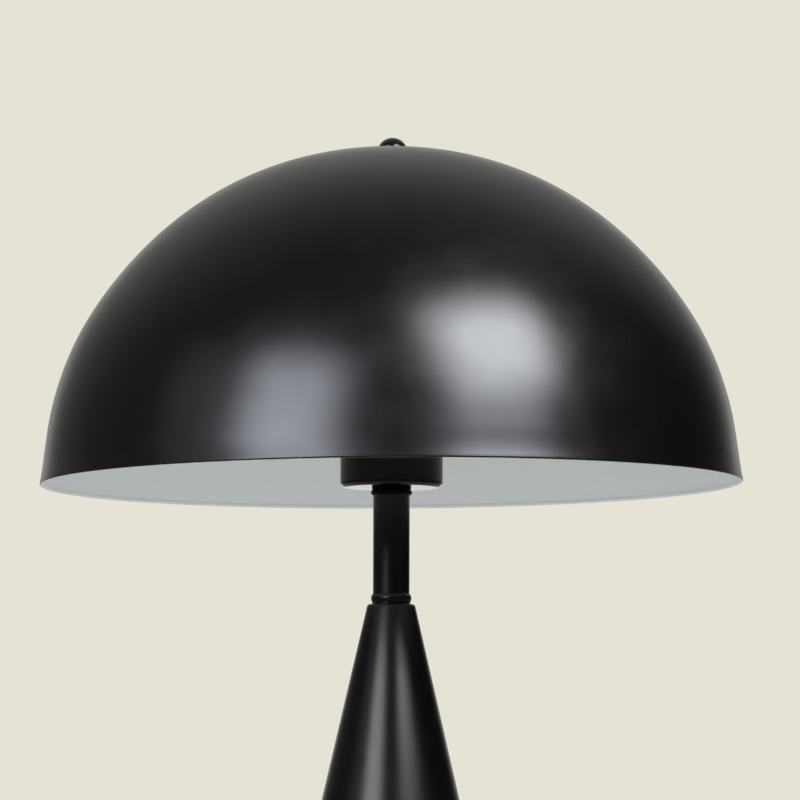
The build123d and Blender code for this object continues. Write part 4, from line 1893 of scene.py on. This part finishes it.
@dataclass
class Studio:
    """The camera at the photograph's angle, a pale floor, the world and the cards."""

    backdrop: Triple = (0.783, 0.768, 0.672)
    gloss_color: Triple = (0.775, 0.762, 0.735)
    ambient: float = 0.78
    ambient_color: Triple = (0.98, 1.0, 1.05)
    # how the backdrop shows in gloss, by the direction's parts along X and Y
    overhead: Triple = (0.0, 0.75, 0.66)
    overhead_gloss: float = 0.56
    overhead_power: float = 4.0
    front_gloss: float = 0.025
    left_gloss: float = 0.09
    left_band: Pair = (-0.85, 0.2)
    right_gloss: float = 0.05
    right_band: Pair = (0.42, 0.84)
    back_band: Pair = (0.76, 1.0)
    lamp_power: float = 15.0
    lamp_size: float = 1.2
    lamp_place: Triple = (1.15, -1.4, 2.7)
    floor_color: Triple = (0.86, 0.845, 0.75)
    # what glossy rays see of the floor: a painted dim reflection, much darker than the floor's own colour
    painted_floor_reflection_color: Triple = (0.2, 0.195, 0.18)
    floor_size: float = 16.0
    floor_fade: Pair = (3.0, 7.5)
    camera_place: Triple = (0.00635, -2.880, 0.6737)
    camera_pitch: float = 5.343
    camera_roll: float = -0.15
    lens: float = 189.846
    sensor: float = 36.0
    target: Triple = (0.0, 0.0, 0.877)
    cards: list[LightCard] = field(
        default_factory=lambda: [
            LightCard("key card", 38.3, 41.9, 2.3, 1.85, 1.84, 17.8, 0.6, 0.85, 0.66),
            LightCard("right near card", 29.6, 20.5, 0.683, 0.45, 0.162, 7.6, 0.16, 0.09, 0.04, COOLER),
            LightCard("left card", -32.0, 28.4, 2.4, 1.76, 1.18, 8.1, 0.6, 0.6, 0.06, COOLER),
            LightCard("left low card", -36.0, 12.2, 2.4, 1.7, 0.28, 16.0, 0.5, 0.05, 0.04, COOLER),
            LightCard("far left card", -66.0, 22.0, 2.4, 1.4, 1.5, 0.4, 0.5, 0.5, 0.3),
        ]
    )

    def camera(self) -> None:
        """Sets the camera where the photograph was taken from."""
        data = bpy.data.cameras.new("photo camera")
        data.lens, data.sensor_width, data.clip_end = self.lens, self.sensor, 200.0
        camera = stand("photo camera", data)
        camera.location = self.camera_place
        pitch, roll = math.radians(90.0 + self.camera_pitch), math.radians(self.camera_roll)
        camera.rotation_euler = (pitch, roll, 0.0)
        bpy.context.scene.camera = camera

    def world(self) -> None:
        """Shows the pale backdrop, dimmer in front for gloss, and lights the rest softly."""
        world = bpy.data.worlds.new("pale studio")
        world.use_nodes = True
        bpy.context.scene.world = world
        recipe = Recipe(world.node_tree)
        rays = recipe.add("ShaderNodeLightPath")
        soft = recipe.add("ShaderNodeBackground", Color=(*self.ambient_color, 1.0), Strength=self.ambient)
        seen = recipe.add("ShaderNodeBackground", Color=(*self.backdrop, 1.0))
        gloss = recipe.add("ShaderNodeBackground", Color=(*self.gloss_color, 1.0))
        recipe.link(self.gloss_level(recipe), gloss.inputs["Strength"])
        full = recipe.sums("MAXIMUM", rays.outputs["Is Camera Ray"], rays.outputs["Is Transmission Ray"])
        shiny = recipe.mix(rays.outputs["Is Glossy Ray"], soft.outputs[0], gloss.outputs[0])
        recipe.end(recipe.mix(full, shiny, seen.outputs[0]), "ShaderNodeOutputWorld")

    def gloss_level(self, recipe: Recipe) -> Socket:
        """How bright the backdrop is in gloss: full behind, less above, least in front.

        Args:
            recipe: The world's tree.

        Returns:
            The strength, which depends on the direction alone.
        """
        direction = recipe.place("Generated")
        heading = recipe.add("ShaderNodeSeparateXYZ")
        recipe.link(direction, heading.inputs[0])
        lean = recipe.add("ShaderNodeVectorMath", operation="DOT_PRODUCT")
        lean.inputs[1].default_value = self.overhead
        recipe.link(direction, lean.inputs[0])
        upward = recipe.sums("MAXIMUM", lean.outputs["Value"], 0.0)
        near = recipe.sums("POWER", upward, self.overhead_power)
        side = recipe.fade(heading.outputs["X"], *self.left_band, self.left_gloss, self.front_gloss)
        above = recipe.sums("ADD", recipe.sums("MULTIPLY", near, self.overhead_gloss), side)
        right = recipe.fade(heading.outputs["X"], *self.right_band, 1.0, self.right_gloss)
        behind = recipe.fade(heading.outputs["Y"], *self.back_band)
        return recipe.sums("MAXIMUM", recipe.sums("MULTIPLY", above, right), behind)

    def lamp(self) -> None:
        """Hangs the soft lamp that lights the colours and casts the shadow."""
        data = bpy.data.lights.new("soft lamp", "AREA")
        data.energy, data.size = self.lamp_power, self.lamp_size
        lamp = stand("soft lamp", data)
        lamp.location = self.lamp_place
        lamp.rotation_euler = (Vector(self.target) - lamp.location).to_track_quat("-Z", "Y").to_euler()
        lamp.visible_camera = False
        lamp.visible_glossy = False

    def floor(self) -> None:
        """Lays the pale floor, which fades into the backdrop and keeps the shadow, and shows glossy rays a
        darker, painted reflection colour.
        """
        material, recipe = new_material("pale floor")
        paper = recipe.add("ShaderNodeBsdfDiffuse")
        shiny = recipe.add("ShaderNodeLightPath").outputs["Is Glossy Ray"]
        # glossy rays see the floor in a darker colour, a painted dim reflection
        recipe.link(recipe.tint(shiny, self.floor_color, self.painted_floor_reflection_color), paper.inputs["Color"])
        clear = recipe.add("ShaderNodeBsdfTransparent").outputs[0]
        far = recipe.fade(recipe.radius(recipe.place()), *self.floor_fade)
        recipe.end(recipe.mix(far, paper.outputs[0], clear))
        mesh = bmesh.new()
        bmesh.ops.create_circle(mesh, cap_ends=True, segments=96, radius=self.floor_size / 2)
        floor = stand("floor", as_data("floor", mesh))
        floor.data.materials.append(material)

    def build(self) -> None:
        """Sets up the whole studio."""
        self.camera()
        self.world()
        self.floor()
        self.lamp()
        for card in self.cards:
            card.hang(Vector(self.target))
        bpy.context.scene.view_settings.view_transform = "Standard"


def main() -> None:
    """Loads the frame, dresses the lamp and sets up the studio."""
    logging.basicConfig(level=logging.INFO, format="%(name)s: %(message)s")
    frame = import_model()
    bench = Bench(frame)
    Studio().build()
    for assembly in (Cone(), Stem(), Cup(), Lampholder(), Bulb(), Harp(), Shade(), FinialSet()):
        assembly.build(bench)
        LOG.info("%s is done", type(assembly).__name__)


if __name__ == "__main__":
    main()
